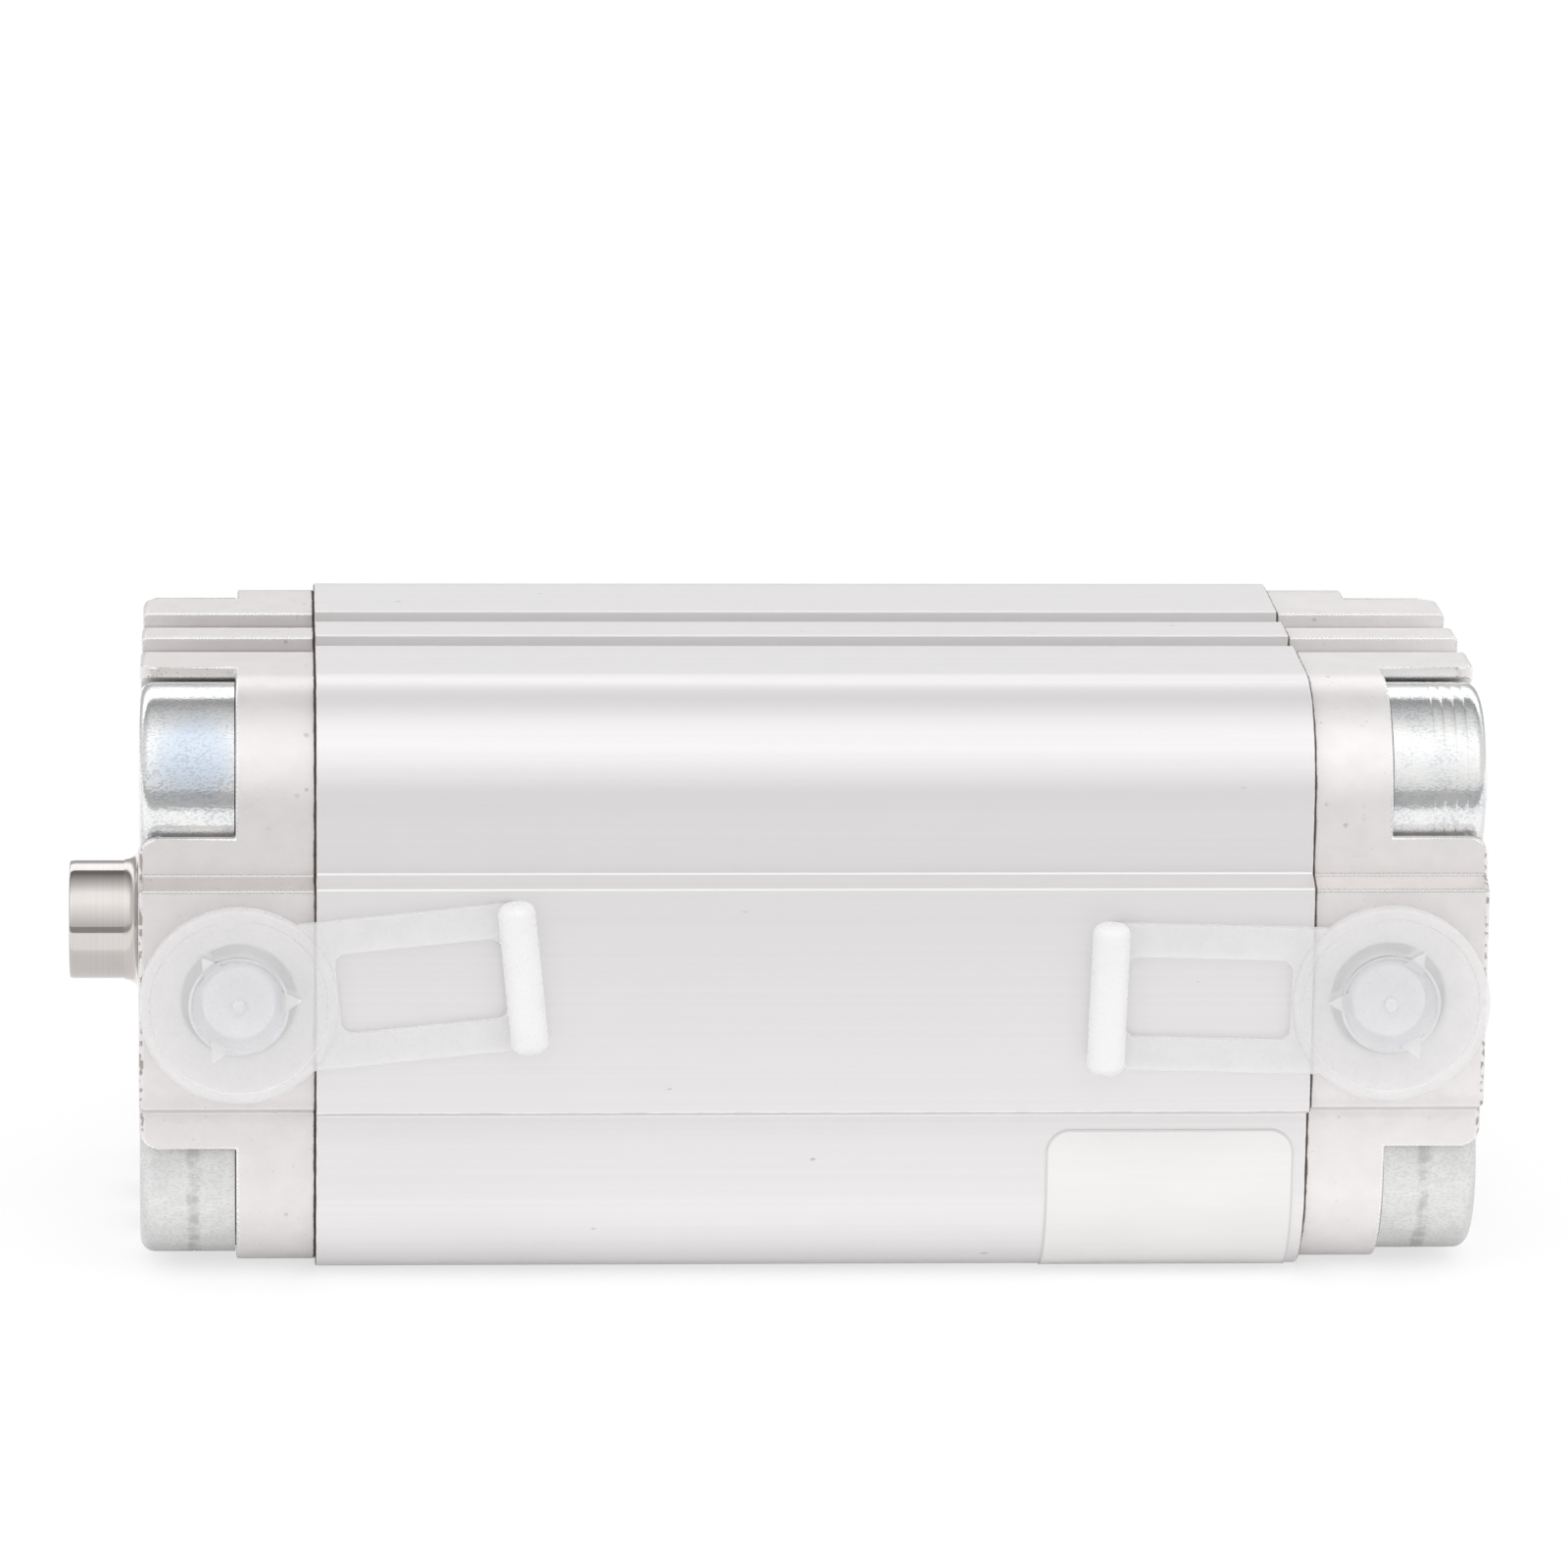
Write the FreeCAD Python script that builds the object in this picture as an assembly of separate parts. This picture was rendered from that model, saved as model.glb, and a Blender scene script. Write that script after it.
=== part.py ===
import FreeCAD, Part
import math
import os

# Compact pneumatic cylinder, in millimetres.
# The origin is on the rod axis, in the outer face of the front cap.
# The rod points along -X, the ports face -Y and the sensor slots are on top, behind and below.

Vector = FreeCAD.Vector
ALONG_X = Vector(1, 0, 0)
ALONG_Y = Vector(0, 1, 0)
AXIS_POINT = Vector(0, 0, 0)
FULL_TURN = 360.0
QUARTER_TURN = 90.0
HEXAGON = 6
SIDES = (-1, 1)

# Working sizes
BORE = 32.0
STROKE = 65.0

# Profile tube
TUBE_HALF = 25.1
TUBE_CORNER = 8.6
TUBE_PANEL_RISE = 2.15
TUBE_PANEL_HALF = 9.45
PANEL_SLOPE = 0.75

# Sensor slots: an opening between two lips, and a wider channel below it
SLOT_CENTRE = 4.6
SLOT_OPENING = 4.0
SLOT_LIP = 1.3
SLOT_CHANNEL = 5.3
SLOT_DEPTH = 4.8
SLOT_BEVEL = 0.8
CAP_SLOT_WIDTH = 5.4
SLOT_FACE_TURNS = (0.0, -90.0, 180.0)

# End caps
CAP_LENGTH = 14.4
CAP_INSET = 0.35
CAP_CORNER = 9.3
CAP_PANEL_RISE = 1.95
CAP_PANEL_HALF = 9.2
CAP_EDGE_ROUND = 0.5
SPIGOT = 2.0
SPIGOT_CLEARANCE = 0.05
NOTCH_EDGE = 12.0
NOTCH_DEPTH = 7.9
NOTCH_ROUND = 1.6

# Collar screws
SCREW_EDGE = 9.1
SCREW_HEAD_RADIUS = 8.0
SCREW_HEAD_ROUND = 1.2
SCREW_NECK_RADIUS = 4.1
SCREW_SHANK_RADIUS = 2.5
SCREW_GRIP = 12.0
SCREW_CLEARANCE = 0.35
NECK_CLEARANCE = 0.1
SHANK_CLEARANCE = 0.05
MOUNT_THREAD_RADIUS = 2.5
MOUNT_THREAD_FLOOR = 3.0

# Ports, one in each cap, and the air duct from port to chamber
PORT_INSET = 8.15
PORT_RADIUS = 4.3
PORT_DEPTH = 9.0
PORT_BEVEL = 0.6
DUCT_RADIUS = 1.3
DUCT_WALL = 0.2

# Piston and its rings
PISTON_LENGTH = 10.5
PISTON_GAP = 0.2
RUNNING_GAP = 0.05
PISTON_FLANGE = 1.4
SEAL_WIDTH = 2.0
SEAL_DEPTH = 2.6
SEAL_LIP = 0.5
PISTON_WEB = 0.8
RING_GAP = 0.05
GUIDE_THICKNESS = 1.9
MAGNET_WALL = 5.0

# Elastic end stops
BUFFER_THICKNESS = 2.0
BUFFER_PROUD = 0.8
BUFFER_INNER = 8.5
BUFFER_WIDTH = 4.0
BUFFER_ROUND = 0.5
END_GAP = 0.2

# Piston rod
ROD_RADIUS = 5.0
ROD_OUT = 6.1
ROD_BEVEL = 0.45
ROD_SEAT = 1.0
ROD_NECK_RADIUS = 4.0
ROD_NECK_LENGTH = 6.0
ROD_THREAD_RADIUS = 2.5
ROD_THREAD_DEPTH = 14.0
ROD_THREAD_BEVEL = 0.5
ROD_FIT = 0.05

# Screw that holds the piston on the rod
PISTON_SCREW_HEAD_RADIUS = 5.0
PISTON_SCREW_HEAD_LENGTH = 2.6
PISTON_SCREW_SUNK = 0.2
PISTON_SCREW_RADIUS = 2.5
PISTON_SCREW_LENGTH = 14.0
PISTON_SCREW_SOCKET = 4.0
PISTON_SCREW_SOCKET_DEPTH = 1.6
PISTON_SCREW_TIP = 2.0

# Rod bearing and wiper in the front cap
BUSH_WALL = 1.45
BUSH_LENGTH = 8.0
WIPER_WALL = 2.4
WIPER_LENGTH = 4.0
WIPER_NECK_WALL = 0.85
WIPER_LIP_WALL = 0.3
WIPER_OUT = 1.1
WIPER_START = 1.2
BOSS_OUT = 0.3
BOSS_WALL = 0.6
BOSS_FLARE = 0.7
REAR_POCKET_RADIUS = 6.5
REAR_POCKET_DEPTH = 3.0

# Round seals
TUBE_SEAL_SECTION = 0.7
ROD_O_RING_SECTION = 0.45

# Transport plugs
PLUG_FIT = 0.08
PLUG_SHANK = 6.5
PLUG_SHANK_GAP = 0.45
PLUG_WALL = 0.9
PLUG_RIBS = 3
PLUG_RIB_WIDTH = 0.7
PLUG_RIB_START = 1.2
PLUG_STAND_OFF = 0.15
FLANGE_RADIUS = 8.05
FLANGE_THICKNESS = 1.2
FLANGE_RIM = 0.9
FLANGE_RIM_RISE = 0.4
RECESS_DEPTH = 0.35
NUB_RADIUS = 0.55
NUB_HEIGHT = 0.75
TAB_REACH = 23.5
TAB_WIDTH = 12.3
TAB_ARM = 2.75
TAB_THICKNESS = 0.9
TAB_CORNER = 1.2
BAR_RADIUS = 1.55
BAR_END_ROUND = 0.9
FRONT_TAB_TURN = 6.0
REAR_TAB_TURN = 178.5

# Label film, left blank
LABEL_THICKNESS = 0.1
LABEL_END_GAP = 1.05
LABEL_LENGTH = 20.45
LABEL_TOP = 11.5
LABEL_WRAP = 72.0
LABEL_CORNER = 2.0

# Sizes that follow from the ones above
BORE_RADIUS = BORE / 2
END_STACK = SPIGOT + BUFFER_PROUD + END_GAP
TUBE_LENGTH = STROKE + PISTON_LENGTH + 2 * END_STACK
BODY_LENGTH = TUBE_LENGTH + 2 * CAP_LENGTH
TUBE_START = CAP_LENGTH
TUBE_END = CAP_LENGTH + TUBE_LENGTH
TUBE_PANEL = TUBE_HALF + TUBE_PANEL_RISE
SLOT_FLOOR = TUBE_HALF - SLOT_DEPTH
ABOVE_SLOT = TUBE_HALF + SLOT_LIP
CAP_HALF = TUBE_HALF - CAP_INSET
NOTCH_PLANE = TUBE_HALF - NOTCH_EDGE
CAP_PANEL = CAP_HALF + CAP_PANEL_RISE
SPIGOT_FACE = CAP_LENGTH + SPIGOT
BUFFER_START = SPIGOT_FACE + BUFFER_PROUD - BUFFER_THICKNESS
BUFFER_OUTER = BUFFER_INNER + BUFFER_WIDTH
DUCT_OFFSET = BUFFER_OUTER + DUCT_WALL + DUCT_RADIUS
SCREW_OFFSET = TUBE_HALF - SCREW_EDGE
SCREW_PLACES = [(side, height) for side in SIDES for height in SIDES]
MOUNT_THREAD_DEPTH = CAP_LENGTH - MOUNT_THREAD_FLOOR
PISTON_FRONT = TUBE_END - END_STACK - PISTON_LENGTH
PISTON_REAR = PISTON_FRONT + PISTON_LENGTH
PISTON_RADIUS = BORE_RADIUS - PISTON_GAP
HALF_LENGTH = PISTON_FLANGE + SEAL_WIDTH + PISTON_WEB
GUIDE_WIDTH = PISTON_LENGTH - 2 * HALF_LENGTH
GUIDE_OUTER = BORE_RADIUS - RUNNING_GAP
GUIDE_INNER = GUIDE_OUTER - GUIDE_THICKNESS
MAGNET_OUTER = GUIDE_INNER - RING_GAP
MAGNET_INNER = MAGNET_OUTER - MAGNET_WALL
SEAL_FLOOR = PISTON_RADIUS - SEAL_DEPTH
HUB_RADIUS = MAGNET_INNER - RING_GAP
O_RING_ROOM = 2 * ROD_O_RING_SECTION
ROD_SHOULDER = PISTON_FRONT + ROD_SEAT
PISTON_SCREW_SEAT = PISTON_REAR - PISTON_SCREW_SUNK - PISTON_SCREW_HEAD_LENGTH
ROD_BORE = ROD_RADIUS + ROD_FIT
BUSH_OUTER = ROD_BORE + BUSH_WALL
WIPER_OUTER = ROD_BORE + WIPER_WALL
WIPER_NECK = ROD_BORE + WIPER_NECK_WALL
BOSS_TIP_RADIUS = WIPER_NECK + BOSS_WALL
BOSS_RADIUS = BOSS_TIP_RADIUS + BOSS_FLARE
BUSH_START = WIPER_START + WIPER_LENGTH
PLUG_RIB_REACH = PORT_RADIUS - PLUG_FIT
PLUG_SHANK_RADIUS = PORT_RADIUS - PLUG_SHANK_GAP
FLANGE_LEVEL = max(TUBE_PANEL, CAP_PANEL) + PLUG_STAND_OFF
FLANGE_FACE = FLANGE_LEVEL + FLANGE_THICKNESS
LABEL_START = TUBE_END - LABEL_END_GAP - LABEL_LENGTH


def turned(outline):
    """Solid of revolution about the X axis, from (place along X, radius) points."""
    points = [Vector(place, 0, radius) for place, radius in outline]
    face = Part.Face(Part.makePolygon(points + points[:1]))
    return face.revolve(AXIS_POINT, ALONG_X, FULL_TURN)


def ring(start, length, inner, outer):
    """Plain ring about the rod axis."""
    return turned([(start, inner), (start + length, inner), (start + length, outer), (start, outer)])


def circles_between(shape, low, high):
    """Full circles about the X axis that lie between two places along it."""
    circles = [edge for edge in shape.Edges if edge.isClosed() and edge.BoundBox.XLength < (high - low) / 2]
    return [edge for edge in circles if low < edge.BoundBox.Center.x < high]


def rod_along_x(start, length, radius, side=0.0, height=0.0):
    return Part.makeCylinder(radius, length, Vector(start, side, height), ALONG_X)


def rod_along_y(start, length, radius, place=0.0, height=0.0):
    return Part.makeCylinder(radius, length, Vector(place, start, height), ALONG_Y)


def prism(section, start, length):
    """Straight bar along X, from (across, up) points of its section."""
    points = [Vector(start, across, up) for across, up in section]
    face = Part.Face(Part.makePolygon(points + points[:1]))
    return face.extrude(Vector(length, 0, 0))


def rounded_bar(start, length, half, corner):
    """Square bar along X with round corners."""
    bar = Part.makeBox(length, 2 * half, 2 * half, Vector(start, -half, -half))
    long_edges = [edge for edge in bar.Edges if math.isclose(edge.BoundBox.XLength, length, rel_tol=1e-6)]
    return bar.makeFillet(corner, long_edges)


def port_panel(start, length, half, level, half_width):
    """Raised strip with sloped sides on the port side of a bar, rooted in the bar."""
    root = half_width + PANEL_SLOPE
    section = [
        (-level, -half_width),
        (-level, half_width),
        (-half, root),
        (-half + PANEL_SLOPE, root),
        (-half + PANEL_SLOPE, -root),
        (-half, -root),
    ]
    return prism(section, start, length)


def outer_bar(start, length, half, corner, level, half_width):
    bar = rounded_bar(start, length, half, corner)
    return bar.fuse(port_panel(start, length, half, level, half_width)).removeSplitter()


def around_faces(cutter):
    """Copies of a cutter made for the top face, on every face that has sensor slots."""
    copies = []
    for turn in SLOT_FACE_TURNS:
        for side in SIDES:
            copy = cutter.copy()
            copy.translate(Vector(0, side * SLOT_CENTRE, 0))
            copy.rotate(AXIS_POINT, ALONG_X, turn)
            copies.append(copy)
    return copies


def tube_slot_cutter():
    """T-shaped channel, open at the top through its lips."""
    lip = TUBE_HALF - SLOT_LIP
    opening = SLOT_OPENING / 2
    channel = SLOT_CHANNEL / 2
    section = [
        (-opening, ABOVE_SLOT),
        (-opening, lip),
        (-channel, lip),
        (-channel, SLOT_FLOOR + SLOT_BEVEL),
        (-channel + SLOT_BEVEL, SLOT_FLOOR),
        (channel - SLOT_BEVEL, SLOT_FLOOR),
        (channel, SLOT_FLOOR + SLOT_BEVEL),
        (channel, lip),
        (opening, lip),
        (opening, ABOVE_SLOT),
    ]
    return prism(section, TUBE_START, TUBE_LENGTH)


def cap_slot_cutter():
    half = CAP_SLOT_WIDTH / 2
    section = [(-half, SLOT_FLOOR), (half, SLOT_FLOOR), (half, ABOVE_SLOT), (-half, ABOVE_SLOT)]
    return prism(section, 0.0, CAP_LENGTH)


def profile_tube():
    tube = outer_bar(TUBE_START, TUBE_LENGTH, TUBE_HALF, TUBE_CORNER, TUBE_PANEL, TUBE_PANEL_HALF)
    cutters = around_faces(tube_slot_cutter())
    cutters.append(rod_along_x(TUBE_START, TUBE_LENGTH, BORE_RADIUS))
    channel = SCREW_SHANK_RADIUS + SHANK_CLEARANCE
    for side, height in SCREW_PLACES:
        across = side * SCREW_OFFSET
        up = height * SCREW_OFFSET
        cutters.append(rod_along_x(TUBE_START, TUBE_LENGTH, channel, across, up))
    seal_room = 2 * TUBE_SEAL_SECTION
    for start in (TUBE_START, TUBE_END - seal_room):
        cutters.append(rod_along_x(start, seal_room, BORE_RADIUS + seal_room))
    return tube.cut(cutters)


def notch_wall(along):
    """Everything outside one wall of a corner notch, with the wall's mouth rounded."""
    low = NOTCH_PLANE - NOTCH_ROUND
    bend = NOTCH_ROUND * (1 - math.sqrt(0.5))
    far = NOTCH_PLANE + CAP_HALF
    mouth = Part.Arc(
        Vector(0, 0, low), Vector(bend, 0, NOTCH_PLANE - bend), Vector(NOTCH_ROUND, 0, NOTCH_PLANE))
    sides = Part.makePolygon([
        Vector(NOTCH_ROUND, 0, NOTCH_PLANE),
        Vector(NOTCH_DEPTH, 0, NOTCH_PLANE),
        Vector(NOTCH_DEPTH, 0, far),
        Vector(0, 0, far),
        Vector(0, 0, low),
    ])
    outline = Part.Wire([mouth.toShape()] + sides.Edges)
    wall = Part.Face(outline).extrude(Vector(0, far, 0))
    wall.rotate(AXIS_POINT, ALONG_X, along)
    return wall


def corner_notches():
    """The four notches that hold the screw heads, each between a ledge and a side wall."""
    side_wall = notch_wall(-QUARTER_TURN)
    side_wall.translate(Vector(0, 0, NOTCH_PLANE + CAP_HALF))
    notch = notch_wall(0.0).common(side_wall)
    notches = []
    for number in range(len(SCREW_PLACES)):
        copy = notch.copy()
        copy.rotate(AXIS_POINT, ALONG_X, number * QUARTER_TURN)
        notches.append(copy)
    return notches


def end_cap_body():
    """What both caps share, with the outer end face at X = 0."""
    cap = outer_bar(0.0, CAP_LENGTH, CAP_HALF, CAP_CORNER, CAP_PANEL, CAP_PANEL_HALF)
    rim = [edge for edge in cap.Edges if edge.BoundBox.XMax < CAP_EDGE_ROUND]
    cap = cap.makeFillet(CAP_EDGE_ROUND, rim)
    cap = cap.fuse(rod_along_x(CAP_LENGTH, SPIGOT, BORE_RADIUS - SPIGOT_CLEARANCE))
    cutters = around_faces(cap_slot_cutter()) + corner_notches()
    for side, height in SCREW_PLACES:
        across = side * SCREW_OFFSET
        up = height * SCREW_OFFSET
        cutters.append(rod_along_x(0.0, NOTCH_DEPTH, SCREW_HEAD_RADIUS + SCREW_CLEARANCE, across, up))
        cutters.append(rod_along_x(0.0, CAP_LENGTH, SCREW_NECK_RADIUS + NECK_CLEARANCE, across, up))
    cutters.append(rod_along_y(-CAP_PANEL, PORT_DEPTH, PORT_RADIUS, PORT_INSET))
    cutters.append(Part.makeCone(
        PORT_RADIUS + PORT_BEVEL, PORT_RADIUS, PORT_BEVEL, Vector(PORT_INSET, -CAP_PANEL, 0), ALONG_Y))
    cutters.append(rod_along_y(-CAP_PANEL, CAP_PANEL - DUCT_OFFSET + DUCT_RADIUS, DUCT_RADIUS, PORT_INSET))
    cutters.append(rod_along_x(PORT_INSET, SPIGOT_FACE - PORT_INSET, DUCT_RADIUS, -DUCT_OFFSET))
    cutters.append(ring(BUFFER_START, BUFFER_THICKNESS, BUFFER_INNER, BUFFER_OUTER))
    return cap.cut(cutters)


def at_rear(shape):
    """The same piece at the other end of the cylinder."""
    return shape.mirror(Vector(BODY_LENGTH / 2, 0, 0), ALONG_X)


def front_cap():
    boss = turned([(0.0, 0.0), (0.0, BOSS_RADIUS), (-BOSS_OUT, BOSS_TIP_RADIUS), (-BOSS_OUT, 0.0)])
    cutters = [
        rod_along_x(-BOSS_OUT, WIPER_START + BOSS_OUT, WIPER_NECK),
        rod_along_x(WIPER_START, WIPER_LENGTH, WIPER_OUTER),
        rod_along_x(BUSH_START, BUSH_LENGTH, BUSH_OUTER),
        rod_along_x(BUSH_START, SPIGOT_FACE - BUSH_START, ROD_RADIUS + PISTON_GAP),
    ]
    return end_cap_body().fuse(boss).cut(cutters)


def rear_cap():
    pocket = rod_along_x(SPIGOT_FACE - REAR_POCKET_DEPTH, REAR_POCKET_DEPTH, REAR_POCKET_RADIUS)
    return at_rear(end_cap_body().cut(pocket))


def collar_screws():
    """Four screws whose heads lie in the corner notches and carry the mounting threads."""
    neck_end = CAP_LENGTH - NECK_CLEARANCE
    tip = CAP_LENGTH + SCREW_GRIP
    screw = turned([
        (0.0, 0.0),
        (0.0, SCREW_HEAD_RADIUS),
        (NOTCH_DEPTH, SCREW_HEAD_RADIUS),
        (NOTCH_DEPTH, SCREW_NECK_RADIUS),
        (neck_end, SCREW_NECK_RADIUS),
        (neck_end, SCREW_SHANK_RADIUS),
        (tip, SCREW_SHANK_RADIUS),
        (tip, 0.0),
    ])
    rim = circles_between(screw, -SCREW_HEAD_ROUND, SCREW_HEAD_ROUND)
    screw = screw.makeFillet(SCREW_HEAD_ROUND, rim)
    thread = turned([
        (0.0, 0.0),
        (0.0, MOUNT_THREAD_RADIUS),
        (MOUNT_THREAD_DEPTH, MOUNT_THREAD_RADIUS),
        (MOUNT_THREAD_DEPTH + MOUNT_THREAD_RADIUS / 2, 0.0),
    ])
    screw = screw.cut(thread)
    screws = []
    for side, height in SCREW_PLACES:
        copy = screw.copy()
        copy.translate(Vector(0, side * SCREW_OFFSET, height * SCREW_OFFSET))
        screws.append(copy)
    return Part.makeCompound(screws)


def tube_seal():
    radius = BORE_RADIUS + TUBE_SEAL_SECTION
    section = TUBE_SEAL_SECTION - RING_GAP
    return Part.makeTorus(radius, section, Vector(CAP_LENGTH + TUBE_SEAL_SECTION, 0, 0), ALONG_X)


def end_buffer():
    buffer = ring(BUFFER_START, BUFFER_THICKNESS, BUFFER_INNER, BUFFER_OUTER)
    face = BUFFER_START + BUFFER_THICKNESS
    return buffer.makeFillet(BUFFER_ROUND, circles_between(buffer, face - BUFFER_ROUND, face + BUFFER_ROUND))


def rod_bush():
    return ring(BUSH_START, BUSH_LENGTH, ROD_BORE, BUSH_OUTER)


def rod_wiper():
    """Seal body in the cap, with a lip that flares out round the rod."""
    return turned([
        (-WIPER_OUT, ROD_BORE),
        (-WIPER_OUT, ROD_BORE + WIPER_LIP_WALL),
        (-BOSS_OUT, WIPER_NECK),
        (WIPER_START, WIPER_NECK),
        (WIPER_START, WIPER_OUTER),
        (BUSH_START, WIPER_OUTER),
        (BUSH_START, ROD_BORE),
    ])


def piston_rod():
    end = ROD_SHOULDER + ROD_NECK_LENGTH
    rod = turned([
        (-ROD_OUT, 0.0),
        (-ROD_OUT, ROD_RADIUS - ROD_BEVEL),
        (-ROD_OUT + ROD_BEVEL, ROD_RADIUS),
        (ROD_SHOULDER, ROD_RADIUS),
        (ROD_SHOULDER, ROD_NECK_RADIUS),
        (end, ROD_NECK_RADIUS),
        (end, 0.0),
    ])
    thread = turned([
        (-ROD_OUT, 0.0),
        (-ROD_OUT, ROD_THREAD_RADIUS + ROD_THREAD_BEVEL),
        (-ROD_OUT + ROD_THREAD_BEVEL, ROD_THREAD_RADIUS),
        (-ROD_OUT + ROD_THREAD_DEPTH, ROD_THREAD_RADIUS),
        (-ROD_OUT + ROD_THREAD_DEPTH + ROD_THREAD_RADIUS / 2, 0.0),
    ])
    screw_hole = rod_along_x(
        PISTON_SCREW_SEAT - PISTON_SCREW_LENGTH - PISTON_SCREW_TIP,
        PISTON_SCREW_LENGTH + PISTON_SCREW_TIP,
        PISTON_SCREW_RADIUS + SHANK_CLEARANCE,
    )
    return rod.cut([thread, screw_hole])


def piston_half_ring(start, seal_start):
    """Piston disc with the groove of its lip seal."""
    disc = rod_along_x(start, HALF_LENGTH, PISTON_RADIUS)
    return disc.cut(ring(seal_start, SEAL_WIDTH, SEAL_FLOOR, PISTON_RADIUS + RUNNING_GAP))


def piston_front_half():
    disc = piston_half_ring(PISTON_FRONT, PISTON_FRONT + PISTON_FLANGE)
    hub = rod_along_x(PISTON_FRONT + HALF_LENGTH, GUIDE_WIDTH, HUB_RADIUS)
    cutters = [
        rod_along_x(PISTON_FRONT, ROD_SEAT + O_RING_ROOM, ROD_BORE),
        rod_along_x(PISTON_FRONT, HALF_LENGTH + GUIDE_WIDTH, ROD_NECK_RADIUS + SHANK_CLEARANCE),
    ]
    return disc.fuse(hub).cut(cutters)


def piston_rear_half():
    start = PISTON_REAR - HALF_LENGTH
    disc = piston_half_ring(start, PISTON_REAR - PISTON_FLANGE - SEAL_WIDTH)
    head_room = PISTON_SCREW_HEAD_RADIUS + SCREW_CLEARANCE
    cutters = [
        rod_along_x(start, HALF_LENGTH, ROD_NECK_RADIUS + SHANK_CLEARANCE),
        rod_along_x(PISTON_SCREW_SEAT, PISTON_REAR - PISTON_SCREW_SEAT, head_room),
    ]
    return disc.cut(cutters)


def magnet_ring():
    return ring(PISTON_FRONT + HALF_LENGTH, GUIDE_WIDTH, MAGNET_INNER, MAGNET_OUTER)


def guide_ring():
    start = PISTON_FRONT + HALF_LENGTH + RING_GAP
    return ring(start, GUIDE_WIDTH - 2 * RING_GAP, GUIDE_INNER, GUIDE_OUTER)


def lip_seal(groove_start, pressure_side):
    """Seal ring whose lip opens towards its pressure side, -1 for the front and 1 for the rear."""
    inner = SEAL_FLOOR + RING_GAP
    outer = BORE_RADIUS - RUNNING_GAP
    middle = (inner + outer) / 2
    length = SEAL_WIDTH - 2 * RING_GAP
    base = groove_start + RING_GAP if pressure_side > 0 else groove_start + SEAL_WIDTH - RING_GAP
    open_end = base + pressure_side * length
    return turned([
        (base, inner),
        (open_end, inner),
        (open_end, middle - SEAL_LIP / 2),
        (base + pressure_side * length / 2, middle),
        (open_end, middle + SEAL_LIP / 2),
        (open_end, outer),
        (base + pressure_side * length / 2, outer),
        (base, outer - SEAL_LIP / 2),
    ])


def piston_seal_front():
    return lip_seal(PISTON_FRONT + PISTON_FLANGE, -1)


def piston_seal_rear():
    return lip_seal(PISTON_REAR - PISTON_FLANGE - SEAL_WIDTH, 1)


def piston_screw():
    head_end = PISTON_SCREW_SEAT + PISTON_SCREW_HEAD_LENGTH
    tip = PISTON_SCREW_SEAT - PISTON_SCREW_LENGTH
    screw = turned([
        (tip, 0.0),
        (tip, PISTON_SCREW_RADIUS),
        (PISTON_SCREW_SEAT, PISTON_SCREW_RADIUS),
        (PISTON_SCREW_SEAT, PISTON_SCREW_HEAD_RADIUS),
        (head_end, PISTON_SCREW_HEAD_RADIUS),
        (head_end, 0.0),
    ])
    corner_radius = PISTON_SCREW_SOCKET / 2 / math.cos(math.pi / HEXAGON)
    corners = [math.radians(FULL_TURN / HEXAGON * number) for number in range(HEXAGON)]
    section = [(corner_radius * math.cos(turn), corner_radius * math.sin(turn)) for turn in corners]
    return screw.cut(prism(section, head_end - PISTON_SCREW_SOCKET_DEPTH, PISTON_SCREW_SOCKET_DEPTH))


def rod_o_ring():
    radius = ROD_NECK_RADIUS + SHANK_CLEARANCE + ROD_O_RING_SECTION
    centre = Vector(ROD_SHOULDER + ROD_O_RING_SECTION, 0, 0)
    return Part.makeTorus(radius, ROD_O_RING_SECTION, centre, ALONG_X)


def pull_tab():
    """Flat loop and round grip bar along +X from the plug's axis, to be turned about that axis."""
    half = TAB_WIDTH / 2
    inner_half = half - TAB_ARM
    face = -FLANGE_LEVEL - TAB_THICKNESS
    loop = Part.makeBox(TAB_REACH, TAB_THICKNESS, TAB_WIDTH, Vector(0, face, -half))
    opening_length = TAB_REACH - BAR_RADIUS - FLANGE_RADIUS
    opening_corner = Vector(FLANGE_RADIUS, face, -inner_half)
    opening = Part.makeBox(opening_length, TAB_THICKNESS, 2 * inner_half, opening_corner)
    near_flange = [edge for edge in opening.Edges if edge.BoundBox.XMax < FLANGE_RADIUS + TAB_CORNER]
    upright = [edge for edge in near_flange if edge.BoundBox.ZLength < TAB_CORNER]
    opening = opening.makeFillet(TAB_CORNER, upright)
    bar = Part.makeCylinder(BAR_RADIUS, TAB_WIDTH, Vector(TAB_REACH, -FLANGE_LEVEL - BAR_RADIUS, -half))
    bar_ends = [edge for edge in bar.Edges if edge.isClosed() and edge.BoundBox.ZLength < BAR_END_ROUND]
    bar = bar.makeFillet(BAR_END_ROUND, bar_ends)
    return loop.cut(opening).fuse(bar)


def plug_ribs():
    """Small ribs along the shank that grip the port's thread."""
    length = PLUG_SHANK - PLUG_RIB_START
    corner = Vector(0, -CAP_PANEL + PLUG_RIB_START, -PLUG_RIB_WIDTH / 2)
    rib = Part.makeBox(PLUG_RIB_REACH, length, PLUG_RIB_WIDTH, corner)
    rib = rib.common(rod_along_y(-CAP_PANEL, PLUG_SHANK, PLUG_RIB_REACH))
    ribs = []
    for number in range(PLUG_RIBS):
        copy = rib.copy()
        copy.rotate(AXIS_POINT, ALONG_Y, number * FULL_TURN / PLUG_RIBS)
        ribs.append(copy)
    return ribs


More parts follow.
